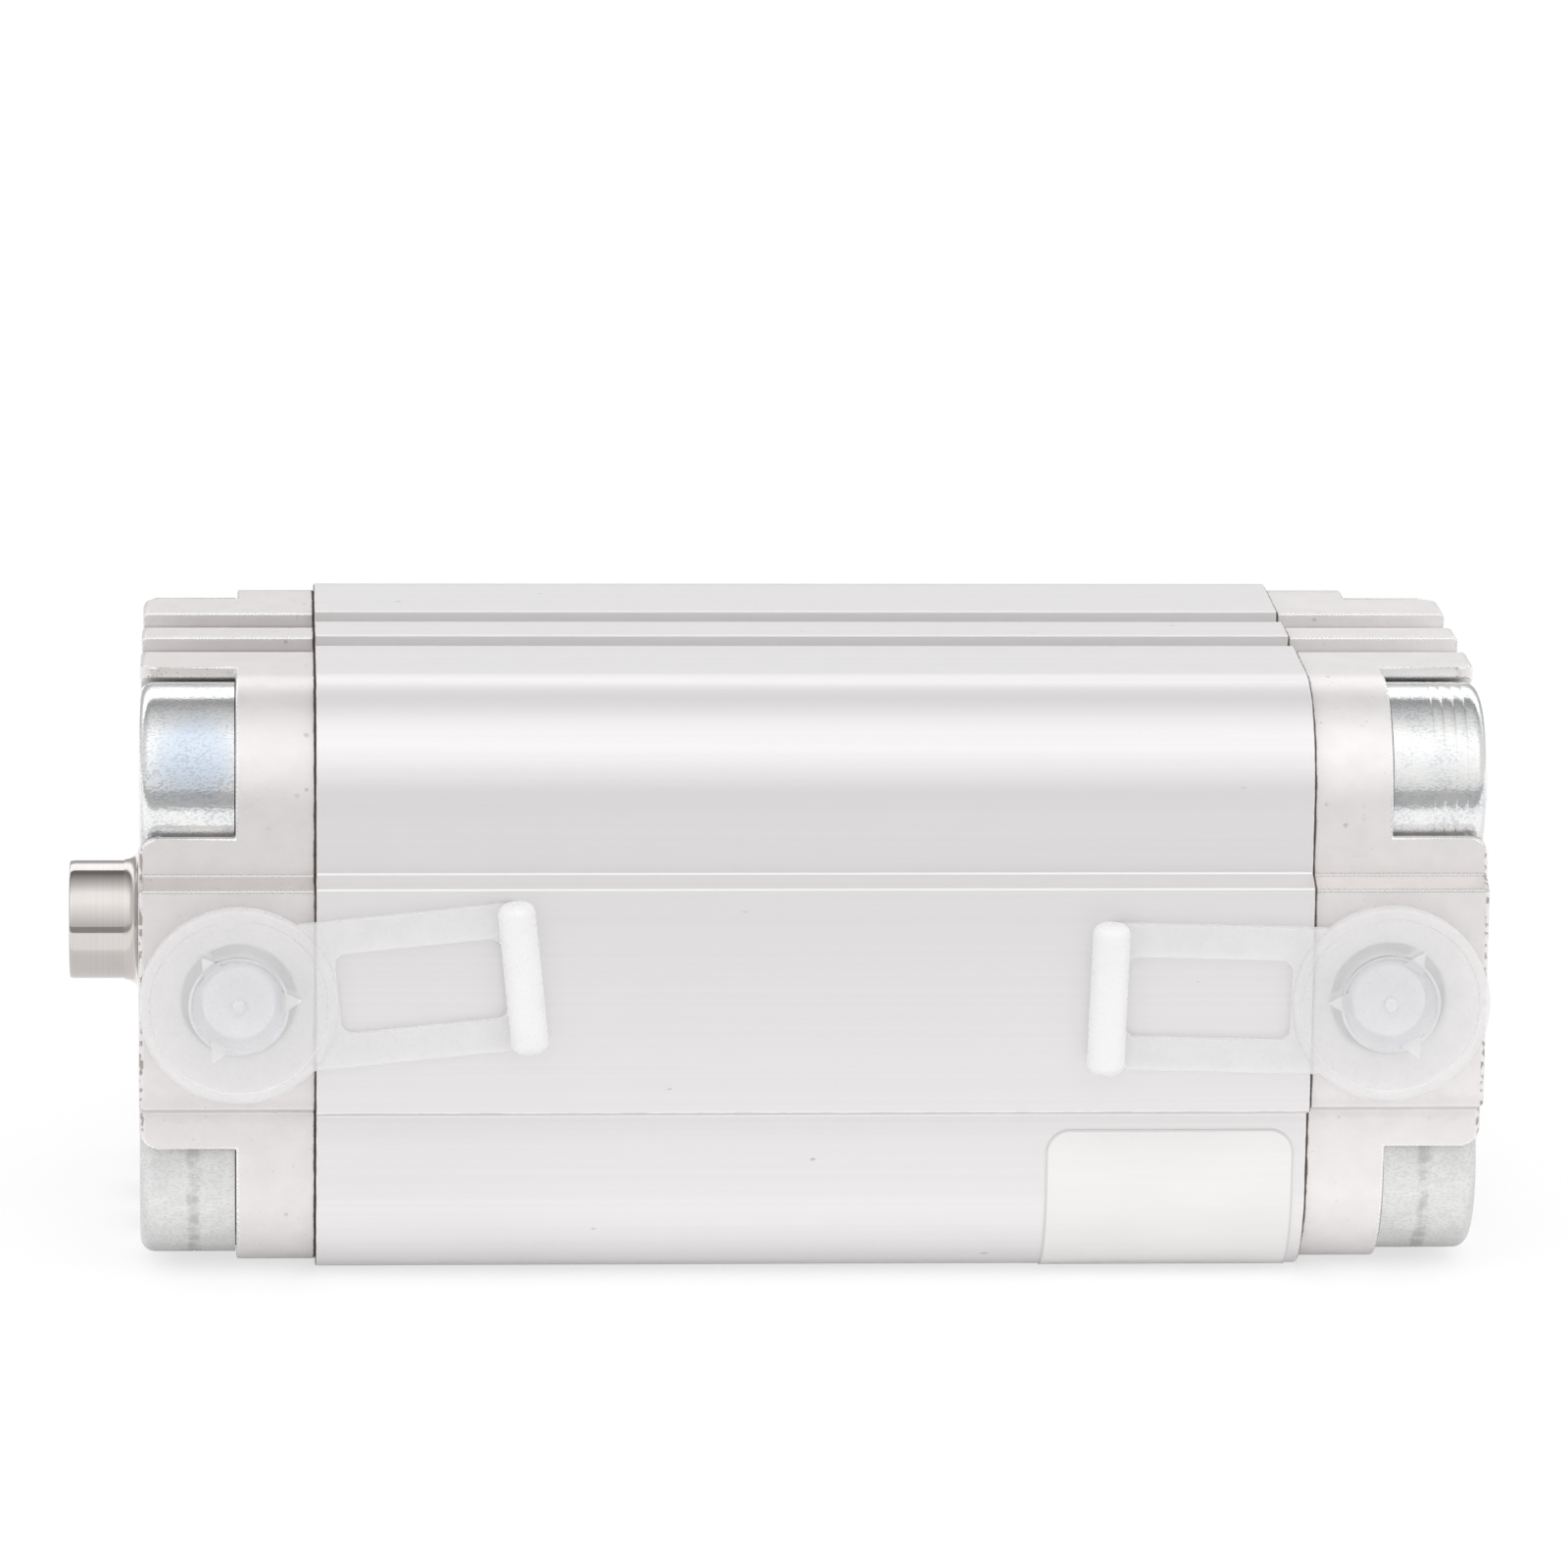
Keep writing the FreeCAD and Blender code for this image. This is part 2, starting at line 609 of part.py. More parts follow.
def port_plug(port_place, tab_turn):
    """Cup-shaped plug with a rimmed flange that clears the tube's panel, and its pull tab."""
    tip = -CAP_PANEL + PLUG_SHANK
    rim_face = -FLANGE_FACE - FLANGE_RIM_RISE
    body = rod_along_y(rim_face, FLANGE_THICKNESS + FLANGE_RIM_RISE, FLANGE_RADIUS)
    body = body.cut(rod_along_y(rim_face, FLANGE_RIM_RISE, FLANGE_RADIUS - FLANGE_RIM))
    shank = rod_along_y(-FLANGE_LEVEL, FLANGE_LEVEL + tip, PLUG_SHANK_RADIUS)
    recess = rod_along_y(-FLANGE_FACE, RECESS_DEPTH, PLUG_SHANK_RADIUS)
    hollow = rod_along_y(-FLANGE_LEVEL, FLANGE_LEVEL + tip, PLUG_SHANK_RADIUS - PLUG_WALL)
    nub = rod_along_y(-FLANGE_FACE + RECESS_DEPTH - NUB_HEIGHT, NUB_HEIGHT, NUB_RADIUS)
    tab = pull_tab()
    tab.rotate(AXIS_POINT, ALONG_Y, -tab_turn)
    plug = body.fuse([shank, tab] + plug_ribs()).cut([recess, hollow]).fuse(nub).removeSplitter()
    plug.translate(Vector(port_place, 0, 0))
    return plug


def label_film():
    """Thin film on the lower corner of the port side, wrapped from the flat round most of the corner."""
    reach = TUBE_HALF + LABEL_THICKNESS
    film = rounded_bar(LABEL_START, LABEL_LENGTH, reach, TUBE_CORNER + LABEL_THICKNESS)
    film = film.cut(rounded_bar(LABEL_START, LABEL_LENGTH, TUBE_HALF, TUBE_CORNER))
    wrapped = TUBE_CORNER * (1 - math.cos(math.radians(LABEL_WRAP)))
    keep = Part.makeBox(LABEL_LENGTH, wrapped, reach - LABEL_TOP, Vector(LABEL_START, -reach, -reach))
    top_corners = [
        edge for edge in keep.Edges
        if edge.BoundBox.ZMin > -LABEL_TOP - LABEL_CORNER and edge.BoundBox.XLength < LABEL_CORNER
    ]
    return film.common(keep.makeFillet(LABEL_CORNER, top_corners))


PIECES = {
    "profile_tube": profile_tube(),
    "front_cap": front_cap(),
    "rear_cap": rear_cap(),
    "front_screws": collar_screws(),
    "rear_screws": at_rear(collar_screws()),
    "front_tube_seal": tube_seal(),
    "rear_tube_seal": at_rear(tube_seal()),
    "front_buffer": end_buffer(),
    "rear_buffer": at_rear(end_buffer()),
    "rod_bush": rod_bush(),
    "rod_wiper": rod_wiper(),
    "piston_rod": piston_rod(),
    "piston_front_half": piston_front_half(),
    "piston_rear_half": piston_rear_half(),
    "magnet_ring": magnet_ring(),
    "guide_ring": guide_ring(),
    "piston_seal_front": piston_seal_front(),
    "piston_seal_rear": piston_seal_rear(),
    "piston_screw": piston_screw(),
    "rod_o_ring": rod_o_ring(),
    "port_plug_front": port_plug(PORT_INSET, FRONT_TAB_TURN),
    "port_plug_rear": port_plug(BODY_LENGTH - PORT_INSET, REAR_TAB_TURN),
    "label_film": label_film(),
}

os.makedirs("parts", exist_ok=True)
for name, shape in PIECES.items():
    shape.exportStep(f"parts/{name}.step")
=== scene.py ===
import math

import bmesh
import bpy
from mathutils import Matrix, Vector


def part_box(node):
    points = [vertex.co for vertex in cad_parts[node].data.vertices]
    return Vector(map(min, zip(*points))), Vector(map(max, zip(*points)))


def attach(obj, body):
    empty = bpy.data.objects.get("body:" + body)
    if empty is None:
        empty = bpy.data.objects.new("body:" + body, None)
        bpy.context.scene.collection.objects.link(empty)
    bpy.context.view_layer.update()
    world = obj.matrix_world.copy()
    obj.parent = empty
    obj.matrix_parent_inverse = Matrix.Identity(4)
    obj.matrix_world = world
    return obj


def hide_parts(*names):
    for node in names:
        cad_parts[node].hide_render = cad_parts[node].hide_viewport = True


# Compact pneumatic cylinder, dressed for a studio picture.
# Everything is in metres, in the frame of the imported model: rod along -X, ports towards -Y, +Z up.

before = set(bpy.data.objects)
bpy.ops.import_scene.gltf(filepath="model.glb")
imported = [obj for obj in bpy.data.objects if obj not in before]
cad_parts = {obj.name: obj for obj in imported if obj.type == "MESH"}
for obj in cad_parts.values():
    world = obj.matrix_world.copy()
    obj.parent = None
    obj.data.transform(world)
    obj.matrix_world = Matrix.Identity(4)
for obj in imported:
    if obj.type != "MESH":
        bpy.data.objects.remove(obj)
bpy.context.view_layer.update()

MM = 0.001
ALONG_X = Vector((1, 0, 0))
ALONG_Y = Vector((0, 1, 0))
UPRIGHT = Vector((0, 0, 1))
MERGE = 0.002 * MM
TURN_STEPS = 96
FINE_STEPS = 128

# Places taken from the frame
tube_low, tube_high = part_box("profile_tube")
front_low, front_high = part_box("front_cap")
rear_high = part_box("rear_cap")[1]
screws_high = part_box("front_screws")[1]
rod_low, rod_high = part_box("piston_rod")
wiper_low, wiper_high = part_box("rod_wiper")
label_low, label_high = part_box("label_film")
FRONT_JOINT = tube_low.x
REAR_JOINT = tube_high.x
FLOOR_LEVEL = tube_low.z
REAR_FACE = rear_high.x
ROD_RADIUS = rod_high.z

# Collar screws
HEAD_RADIUS = 8.0 * MM
HEAD_LENGTH = 7.8 * MM
HEAD_ROUND = 1.2 * MM
HEAD_SEGMENTS = 8
NECK_RADIUS = 4.1 * MM
NECK_END = FRONT_JOINT - 0.1 * MM
SHANK_RADIUS = 2.5 * MM
SCREW_OFFSET = screws_high.y - HEAD_RADIUS
SCREW_TIP = screws_high.x
GROOVE_DEPTH = 0.05 * MM
GROOVE_WIDTH = 0.2 * MM
SCREW_TURN = 1.9
GROOVES = {
    "plain": [],
    "scored": [4.4 * MM],
    "ringed": [1.7 * MM, 2.6 * MM, 3.55 * MM, 4.4 * MM],
}

# Internal threads
THREAD_MINOR = 2.5 * MM
THREAD_MAJOR = 3.0 * MM
THREAD_PITCH = 1.0 * MM
MOUNT_THREAD = (THREAD_MINOR, THREAD_MAJOR, THREAD_PITCH)
THREAD_STEPS = 32
MOUNT_THREAD_DEPTH = 11.4 * MM
ROD_THREAD_DEPTH = 14.0 * MM
MOUTH_BEVEL = 0.5 * MM

# Piston rod
ROD_LEAD = 0.45 * MM
ROD_TAPER = 0.06 * MM
ROD_TIP_ROUND = 0.12 * MM
ROD_TIP_SEGMENTS = 3
ROD_SHOULDER = rod_high.x - 6.0 * MM
ROD_NECK_RADIUS = 4.0 * MM
SCREW_HOLE_RADIUS = 2.55 * MM
SCREW_HOLE_DEPTH = 15.3 * MM

# Rod wiper
WIPER_BORE = 5.05 * MM
WIPER_LIP = 5.08 * MM
WIPER_DRAWN_OUT = 0.4 * MM
WIPER_TIP = wiper_low.x - WIPER_DRAWN_OUT
WIPER_FOOT = 6.35 * MM
WIPER_CURVE = 8
WIPER_NECK = 5.9 * MM
WIPER_BODY = wiper_high.z
WIPER_SHOULDER = 1.2 * MM
WIPER_FLARE = -0.31 * MM

# Ports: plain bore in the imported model, pipe thread here
PORT_INSET = 8.15 * MM
PORT_FACE = front_low.y
PORT_BORE = 4.3 * MM
PORT_THREAD = 4.86 * MM
PORT_WALL = 4.9 * MM
PORT_PITCH = 0.907 * MM
PORT_DEPTH = 9.0 * MM
PORT_BEVEL = 0.6 * MM

# Transport plugs, measured from the port's axis
FLANGE_BACK = -27.4 * MM
FLANGE_FACE = -28.6 * MM
RIM_FACE = -29.0 * MM
RECESS_FACE = -28.25 * MM
SHANK_END = -20.2 * MM
FLANGE_RADIUS = 8.14 * MM
RIM_INNER = 7.2 * MM
RECESS_RADIUS = 3.85 * MM
SHANK_WALL = 0.9 * MM
NUB_RADIUS = 0.55 * MM
NUB_RING = 0.85 * MM
PLUG_EDGE = 0.12 * MM
PLUG_EDGE_SEGMENTS = 2
NUB_ROUND = 0.2 * MM
RIM_ROUND = 0.3 * MM
BACK_ROUND = 0.2 * MM
SHANK_ROUND = 0.25 * MM
CORNER_SEGMENTS = 6
TAB_REACH = 23.2 * MM
TAB_HALF = 6.15 * MM
TAB_ARM = 2.75 * MM
TAB_THICKNESS = 0.9 * MM
TAB_CORNER = 1.0 * MM
BAR_RADIUS = 1.545 * MM
BAR_OVERHANG = 0.2 * MM
BAR_END_ROUND = 0.9 * MM
BAR_VERTICES = 64
RIB_TURNS = (0.0, math.radians(120), math.radians(240))
RIB_ROOT = 3.5 * MM
RIB_TIP = 5.2 * MM
RIB_HALF = 0.95 * MM
RIB_HEIGHT = 0.6 * MM
BEAD_WIDTH = 0.13 * MM
BEAD_RISE = 0.06 * MM
DISH_RADIUS = 2.0 * MM
FRONT_TAB_TURN = math.radians(6.0)
REAR_TAB_TURN = math.radians(178.5)

# Label
LABEL_CORNER = 2.0 * MM

# Edges, panels and slots of the metal pieces
TUBE_EDGE = 0.14 * MM
CAP_EDGE = 0.2 * MM
TUBE_PANEL_HALF = 9.45 * MM
CAP_HALF = front_high.z
CAP_PANEL_HALF = 9.2 * MM
CAP_PANEL_SLOPE = 0.75 * MM
SLOT_CENTRE = 4.6 * MM
SLOT_DEPTH = 4.8 * MM
CAP_SLOT_HALF = 2.7 * MM
NOTCH_PLANE = 13.1 * MM
NOTCH_EDGE = 0.5 * MM
EDGE_DIRT = 0.2 * MM
SLOT_SHADE_DEPTHS = (0.95 * MM, 1.4 * MM)
EDGE_SEGMENTS = 3
NOTCH_SEGMENTS = 4
FACING = 0.9
UPWARD = 0.5
SHARP = math.radians(28)
FLAT = math.radians(0.2)
SMOOTH = math.radians(32)

# Camera of the photograph
LENS = 212.2
SENSOR = 36.0
CAMERA_PLACE = (0.0105, -0.7545, 0.1946)
CAMERA_PITCH = math.radians(13.607)
CAMERA_YAW = math.radians(3.29)
CAMERA_ROLL = math.radians(0.737)


def activate(piece):
    if bpy.context.mode != "OBJECT":
        bpy.ops.object.mode_set(mode="OBJECT")
    bpy.ops.object.select_all(action="DESELECT")
    piece.select_set(True)
    bpy.context.view_layer.objects.active = piece


def select_all():
    bpy.ops.mesh.select_all(action="SELECT")


def face_outwards():
    select_all()
    bpy.ops.mesh.normals_make_consistent(inside=False)


def added(name, operator, **settings):
    """A basic mesh as a piece of its own."""
    bpy.ops.object.select_all(action="DESELECT")
    operator(**settings)
    piece = bpy.context.object
    piece.name = name
    return piece


def edit(piece):
    activate(piece)
    bpy.ops.object.mode_set(mode="EDIT")
    bpy.ops.mesh.select_mode(type="VERT")
    select_all()


def done():
    bpy.ops.object.mode_set(mode="OBJECT")


def pick(kind, test):
    """Selects those vertices, edges or faces of the piece in edit mode that pass a test."""
    bpy.ops.mesh.select_mode(type=kind)
    bpy.ops.mesh.select_all(action="DESELECT")
    piece = bpy.context.edit_object
    mesh = bmesh.from_edit_mesh(piece.data)
    parts = {"VERT": mesh.verts, "EDGE": mesh.edges, "FACE": mesh.faces}[kind]
    for part in parts:
        if test(part):
            part.select_set(True)
    mesh.select_flush_mode()
    bmesh.update_edit_mesh(piece.data)


def add_modifier(piece, kind, **settings):
    """Adds a modifier with its settings and applies it."""
    activate(piece)
    bpy.ops.object.modifier_add(type=kind)
    modifier = piece.modifiers[-1]
    for key, value in settings.items():
        setattr(modifier, key, value)
    bpy.ops.object.modifier_apply(modifier=modifier.name)


def smooth(piece):
    """Smooth shading that keeps flat faces flat."""
    activate(piece)
    bpy.ops.object.shade_smooth_by_angle(angle=SMOOTH)
    add_modifier(piece, "WEIGHTED_NORMAL", mode="FACE_AREA", keep_sharp=True, weight=50)


def join(piece, *others):
    activate(piece)
    for other in others:
        other.select_set(True)
    bpy.ops.object.join()
    return piece


def unite(piece, other):
    """Fuses another closed piece into this one."""
    add_modifier(piece, "BOOLEAN", operation="UNION", object=other, solver="EXACT")
    bpy.data.objects.remove(other)
    return piece


def copied(piece, name, matrix):
    """A copy with its own mesh, set at its own place."""
    copy = bpy.data.objects.new(name, piece.data.copy())
    bpy.context.scene.collection.objects.link(copy)
    copy.data.transform(matrix)
    if matrix.is_negative:
        copy.data.flip_normals()
    return copy


def draw(name, points):
    """A line of edges through points, drawn one vertex after another."""
    piece = added(name, bpy.ops.mesh.primitive_plane_add, size=MM)
    edit(piece)
    bpy.ops.mesh.merge(type="CENTER")
    bpy.ops.transform.translate(value=points[0])
    for here, there in zip(points, points[1:]):
        bpy.ops.mesh.extrude_vertices_move(TRANSFORM_OT_translate={"value": there - here})
    return piece


def turned(name, outline, rounds=(), axis=ALONG_X, steps=TURN_STEPS):
    """A piece spun from (place along the axis, radius) points, some with round corners."""
    points = [axis * place + UPRIGHT * radius for place, radius in outline]
    piece = draw(name, points)
    for index, radius, segments in rounds:
        corner = points[index]
        pick("VERT", lambda vertex: (vertex.co - corner).length < MERGE)
        bpy.ops.mesh.bevel(offset=radius, segments=segments, affect="VERTICES", clamp_overlap=False)
    select_all()
    bpy.ops.mesh.spin(steps=steps, angle=math.tau, center=(0, 0, 0), axis=axis)
    select_all()
    bpy.ops.mesh.remove_doubles(threshold=MERGE)
    bpy.ops.mesh.normals_make_consistent(inside=False)
    done()
    return piece


def screw_thread(name, start, depth, minor, major, pitch):
    """Helical flanks of an internal thread along X, facing its axis."""
    crest = pitch / 8
    middle = pitch / 2
    outline = [
        (start, minor),
        (start + crest, minor),
        (start + middle, major),
        (start + middle + crest, major),
        (start + pitch, minor),
    ]
    thread = draw(name, [ALONG_X * place + UPRIGHT * radius for place, radius in outline])
    done()
    turns = int(depth / pitch)
    add_modifier(
        thread, "SCREW", axis="X", angle=math.tau, screw_offset=pitch, iterations=turns,
        steps=THREAD_STEPS, render_steps=THREAD_STEPS, use_merge_vertices=True, merge_threshold=MERGE)
    across = Vector((0, 1, 1))
    facing_out = sum(face.normal.dot(face.center * across) for face in thread.data.polygons)
    if facing_out > 0:
        thread.data.flip_normals()
    return thread


def merged_copy(node, name):
    """A CAD node's surface as one closed mesh, with its flat faces whole."""
    piece = copied(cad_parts[node], name, Matrix.Identity(4))
    edit(piece)
    bpy.ops.mesh.customdata_custom_splitnormals_clear()
    bpy.ops.mesh.remove_doubles(threshold=MERGE)
    bpy.ops.mesh.dissolve_limited(angle_limit=FLAT)
    done()
    return piece


def soften(piece, width):
    """Rounds every sharp edge, and gives the rounding its own finish."""
    edit(piece)
    bpy.ops.mesh.select_mode(type="EDGE")
    bpy.ops.mesh.select_all(action="DESELECT")
    bpy.ops.mesh.edges_select_sharp(sharpness=SHARP)
    bpy.ops.mesh.bevel(
        offset=width, segments=EDGE_SEGMENTS, profile=0.5, affect="EDGES", clamp_overlap=False,
        loop_slide=True, material=EDGE)
    done()
    smooth(piece)


# Sockets of the colour mix node
MIX_INPUTS = (0, 6, 7)
MIX_RESULT = 2

# Where most values of a noise lie
NOISE_RANGE = (0.3, 0.7)

# Spots, and the ragged edge of lines of grime and of painted shade
SPECK_EDGE = (0.42, 0.7)
SPECK_WOBBLE = 0.8
SPECK_WOBBLE_DENSITY = 1.5
LINE_DENSITY = 700.0
LINE_RAGGED = (0.25, 0.75, 0.7, 1.4)
LINE_EDGE = (0.05, 0.6)

# Dirt, and painted shade under the raised panels beside the ports
JOINTS = (FRONT_JOINT, REAR_JOINT)
TUBE_GRIME = 0.10 * MM
CAP_GRIME = 0.23 * MM
STAIN_REACH = 6 * MM
PORT_SIDE_FADE = 0.5 * MM
DASH_DENSITY = 1500.0
DASH_RANGE = (0.48, 0.56, 0.0, 0.7)
PANEL_LINE = 0.22
PAINTED_PANEL_SHADE = 0.07
PAINTED_PANEL_SHADE_WIDTH = 8 * EDGE_DIRT
UNDER_TUBE_PANEL = 0.3
SMEAR_WIDTH = 0.7 * MM
GRIME_AND_SHADE_COLOUR = (0.19, 0.15, 0.135)
PORE_COLOUR = (0.44, 0.39, 0.345)
STAIN_COLOUR = (0.40, 0.33, 0.27)
NICK_COLOUR = (0.30, 0.29, 0.28)
RUB_COLOUR = (0.55, 0.53, 0.50)

# Aluminium
ANODISED_SHEEN = 0.5
ANODISED_ROUGHNESS = (0.46, 0.40)
NICK_STRETCH = (0.5, 1.0, 1.0)
CAST_SHEEN = 0.5
CAST_SHADE = 0.96
CAST_ROUGHNESS = 0.46
CAST_SPREAD = 0.1
WORN_POLISH = 0.16
CAST_RELIEF = 0.30
WORN_RELIEF = 0.25

# Zinc plate: one head with a blue patch, and the lower heads dull
ZINC_SHEEN = 0.74
BLOOM_STRETCH = (1.0, 1.7, 1.7)
SPECKLE_RANGE = (0.46, 0.62)
CLUSTER_RANGE = (0.75, 0.25)
BLUE_PATCH = (4.6 * MM, -22.6 * MM, 19.5 * MM)
BLUE_RAGGED = (-1.0 * MM, 1.0 * MM)
BLUE_FADE = (1.5 * MM, 4.2 * MM, 0.85, 0.0)
FLECK_FADE = (3 * MM, 6 * MM, 0.45, 0.0)
ZINC_BRIGHT = (0.07, 0.16)
ZINC_DULL = 0.48
ZINC = {
    "cool": (0.77, 0.782, 0.80),
    "warm": (0.85, 0.845, 0.835),
    "bloom": (0.78, 0.79, 0.75),
    "blue": (0.57, 0.65, 0.76),
    "speckle": (0.47, 0.50, 0.54),
    "fleck": (0.42, 0.48, 0.56),
    "spot": (0.42, 0.42, 0.41),
    "dull": (0.82, 0.82, 0.815),
    "dull_speckle": (0.62, 0.62, 0.61),
    "dull_patch": (0.66, 0.67, 0.665),
    "smear": (0.40, 0.39, 0.37),
}

# Plastic and film
MILKY_ROUGHNESS = (0.26, 0.36)
FILM_ROUGHNESS = (0.30, 0.42)
FILM_SHADED = (0.965, 0.955, 0.947)
FILM_WHITE = (0.985, 0.975, 0.967)
BORDER_COLOUR = (0.76, 0.75, 0.74)
BORDER_INSET = (0.22 * MM, 0.12 * MM)


def feed(socket, value):
    """Links another node's socket, or sets a value. Colours come without their alpha."""
    if isinstance(value, bpy.types.NodeSocket):
        socket.id_data.links.new(value, socket)
    elif socket.type == "RGBA":
        socket.default_value = (*value, 1.0)
    else:
        socket.default_value = value


def feed_all(sockets, **values):
    """Feeds the sockets that the keywords name in lower case."""
    for key, value in values.items():
        feed(sockets[key.replace("_", " ").title()], value)


def node(tree, kind, inputs=None, **settings):
    """Adds a shader node. An input that is another node's socket is linked, any other value is set."""
    new = tree.nodes.new("ShaderNode" + kind)
    for key, value in settings.items():
        setattr(new, key, value)
    for key, value in (inputs or {}).items():
        feed(new.inputs[key], value)
    return new


def maths(operation, first, second=0.5, clamp=False):
    tree = (first if isinstance(first, bpy.types.NodeSocket) else second).id_data
    inputs = {0: first, 1: second}
    return node(tree, "Math", inputs, operation=operation, use_clamp=clamp).outputs[0]


def scaled(value, factor):
    return maths("MULTIPLY", value, factor)


def summed(first, second):
    return maths("ADD", first, second)


def less(first, second):
    return maths("SUBTRACT", first, second)


def largest(first, second):
    return maths("MAXIMUM", first, second)


def size_of(value):
    return maths("ABSOLUTE", value)


def split(vector):
    return node(vector.id_data, "SeparateXYZ", {0: vector}).outputs


def combined(*parts):
    return node(parts[0].id_data, "CombineXYZ", dict(enumerate(parts))).outputs[0]


def apart(first, second=(0, 0, 0)):
    ends = {0: first, 1: second}
    return node(first.id_data, "VectorMath", ends, operation="DISTANCE").outputs["Value"]


def upright(axes):
    """A place with its height first, for effects that are counted along X."""
    return combined(axes[2], axes[0], axes[1])


def blend(mask, first, second):
    """First colour where the mask is 0, second where it is 1."""
    mix = node(mask.id_data, "Mix", data_type="RGBA")
    for index, value in zip(MIX_INPUTS, (mask, first, second)):
        feed(mix.inputs[index], value)
    return mix.outputs[MIX_RESULT]


def ramp(value, low, high, start=0.0, end=1.0):
    """Maps a value smoothly from low..high to start..end."""
    return node(
        value.id_data, "MapRange",
        {"Value": value, "From Min": low, "From Max": high, "To Min": start, "To Max": end},
        interpolation_type="SMOOTHSTEP").outputs[0]


def between(mask, start, end):
    """Start where the mask is 0, end where it is 1."""
    return ramp(mask, 0.0, 1.0, start, end)


def noise(vector, scale, detail=3.0, roughness=0.5):
    return node(
        vector.id_data, "TexNoise",
        {"Vector": vector, "Scale": scale, "Detail": detail, "Roughness": roughness}).outputs[0]


def stretched(vector, scale):
    inputs = {"Vector": vector, "Scale": scale}
    return node(vector.id_data, "Mapping", inputs, vector_type="POINT").outputs[0]


def shaded(colour, share):
    return [channel * share for channel in colour]


def new_group(name, inputs, outputs):
    """An empty shader group for a vector and some values, with its inputs and what it gives back."""
    tree = bpy.data.node_groups.new(name, "ShaderNodeTree")
    tree.interface.new_socket("Vector", in_out="INPUT", socket_type="NodeSocketVector")
    for label in inputs:
        tree.interface.new_socket(label, in_out="INPUT", socket_type="NodeSocketFloat")
    for label in outputs:
        tree.interface.new_socket(label, in_out="OUTPUT", socket_type="NodeSocketFloat")
    given, result = tree.nodes.new("NodeGroupInput"), tree.nodes.new("NodeGroupOutput")
    return tree, given.outputs, result.inputs


def marks_group(name, detail):
    """Fine streaks, given by how close they lie along X and across it."""
    tree, given, result = new_group(name, ["Along", "Across"], ["Mask"])
    spacing = combined(given["Along"], given["Across"], given["Across"])
    fine = noise(stretched(given["Vector"], spacing), 1.0, detail, 0.6)
    feed(result["Mask"], ramp(fine, *NOISE_RANGE))
    return tree


def specks_group():
    """Scattered round spots of about one size. Amount is the share of places that have one."""
    tree, given, result = new_group("specks", ["Size", "Amount"], ["Mask"])
    density = maths("DIVIDE", 1.0, given["Size"])
    wobble = noise(given["Vector"], scaled(density, SPECK_WOBBLE_DENSITY), 2.0)
    inputs = {"Vector": given["Vector"], "Scale": density, "Randomness": 1.0}
    cells = node(tree, "TexVoronoi", inputs).outputs
    chance = node(tree, "SeparateColor", {0: cells["Color"]}).outputs[0]
    chosen = maths("LESS_THAN", chance, given["Amount"])
    edge = summed(cells["Distance"], scaled(wobble, SPECK_WOBBLE))
    spot = ramp(edge, *SPECK_EDGE, 1.0, 0.0)
    feed(result["Mask"], scaled(spot, chosen))
    return tree


def cloud_group():
    """Soft patches with a finer grain in them."""
    tree, given, result = new_group("clouds", ["Patch", "Grain"], ["Patches", "Grain"])
    patches = noise(given["Vector"], maths("DIVIDE", 1.0, given["Patch"]), 3.0, 0.55)
    grain = noise(given["Vector"], maths("DIVIDE", 1.0, given["Grain"]), 2.0, 0.5)
    feed(result["Patches"], ramp(patches, *NOISE_RANGE))
    feed(result["Grain"], grain)
    return tree


def ragged_grime_and_shade_group():
    """Ragged dark line at a place along X."""
    tree, given, result = new_group("ragged_grime_and_shade", ["Place", "Width"], ["Mask"])
    along = split(given["Vector"])[0]
    away = size_of(less(along, given["Place"]))
    ragged = ramp(noise(given["Vector"], LINE_DENSITY, 3.0, 0.6), *LINE_RAGGED)
    reach = scaled(given["Width"], ragged)
    line = maths("SUBTRACT", 1.0, maths("DIVIDE", away, reach), clamp=True)
    feed(result["Mask"], ramp(line, *LINE_EDGE))
    return tree


DRAW_MARKS = marks_group("draw_marks", 4.0)
RING_MARKS = marks_group("ring_marks", 3.0)
SPECKS = specks_group()
CLOUDS = cloud_group()
RAGGED_GRIME_AND_SHADE = ragged_grime_and_shade_group()


def placed(group, vector, **inputs):
    """One of the shared effects, placed in a material with its own values."""
    effect = node(vector.id_data, "Group")
    effect.node_tree = group
    feed_all(effect.inputs, vector=vector, **inputs)
    return effect.outputs


def new_material(name, metallic=0.0):
    """A material with its shader, and the place on the piece as a socket."""
    material = bpy.data.materials.new(name)
    material.use_nodes = True
    tree = material.node_tree
    shader = tree.nodes["Principled BSDF"]
    shader.inputs["Metallic"].default_value = metallic
    place = node(tree, "TexCoord").outputs["Object"]
    return material, shader, place


def add_bump(shader, height, strength, distance):
    inputs = {"Height": height, "Strength": strength, "Distance": distance}
    feed(shader.inputs["Normal"], node(height.id_data, "Bump", inputs).outputs[0])


def grime_and_shade_line(vector, place, width):
    return placed(RAGGED_GRIME_AND_SHADE, vector, place=place, width=width)[0]


def grime_lines(vector, places, width):
    """Grime at two places along X."""
    return largest(*(grime_and_shade_line(vector, place, width) for place in places))


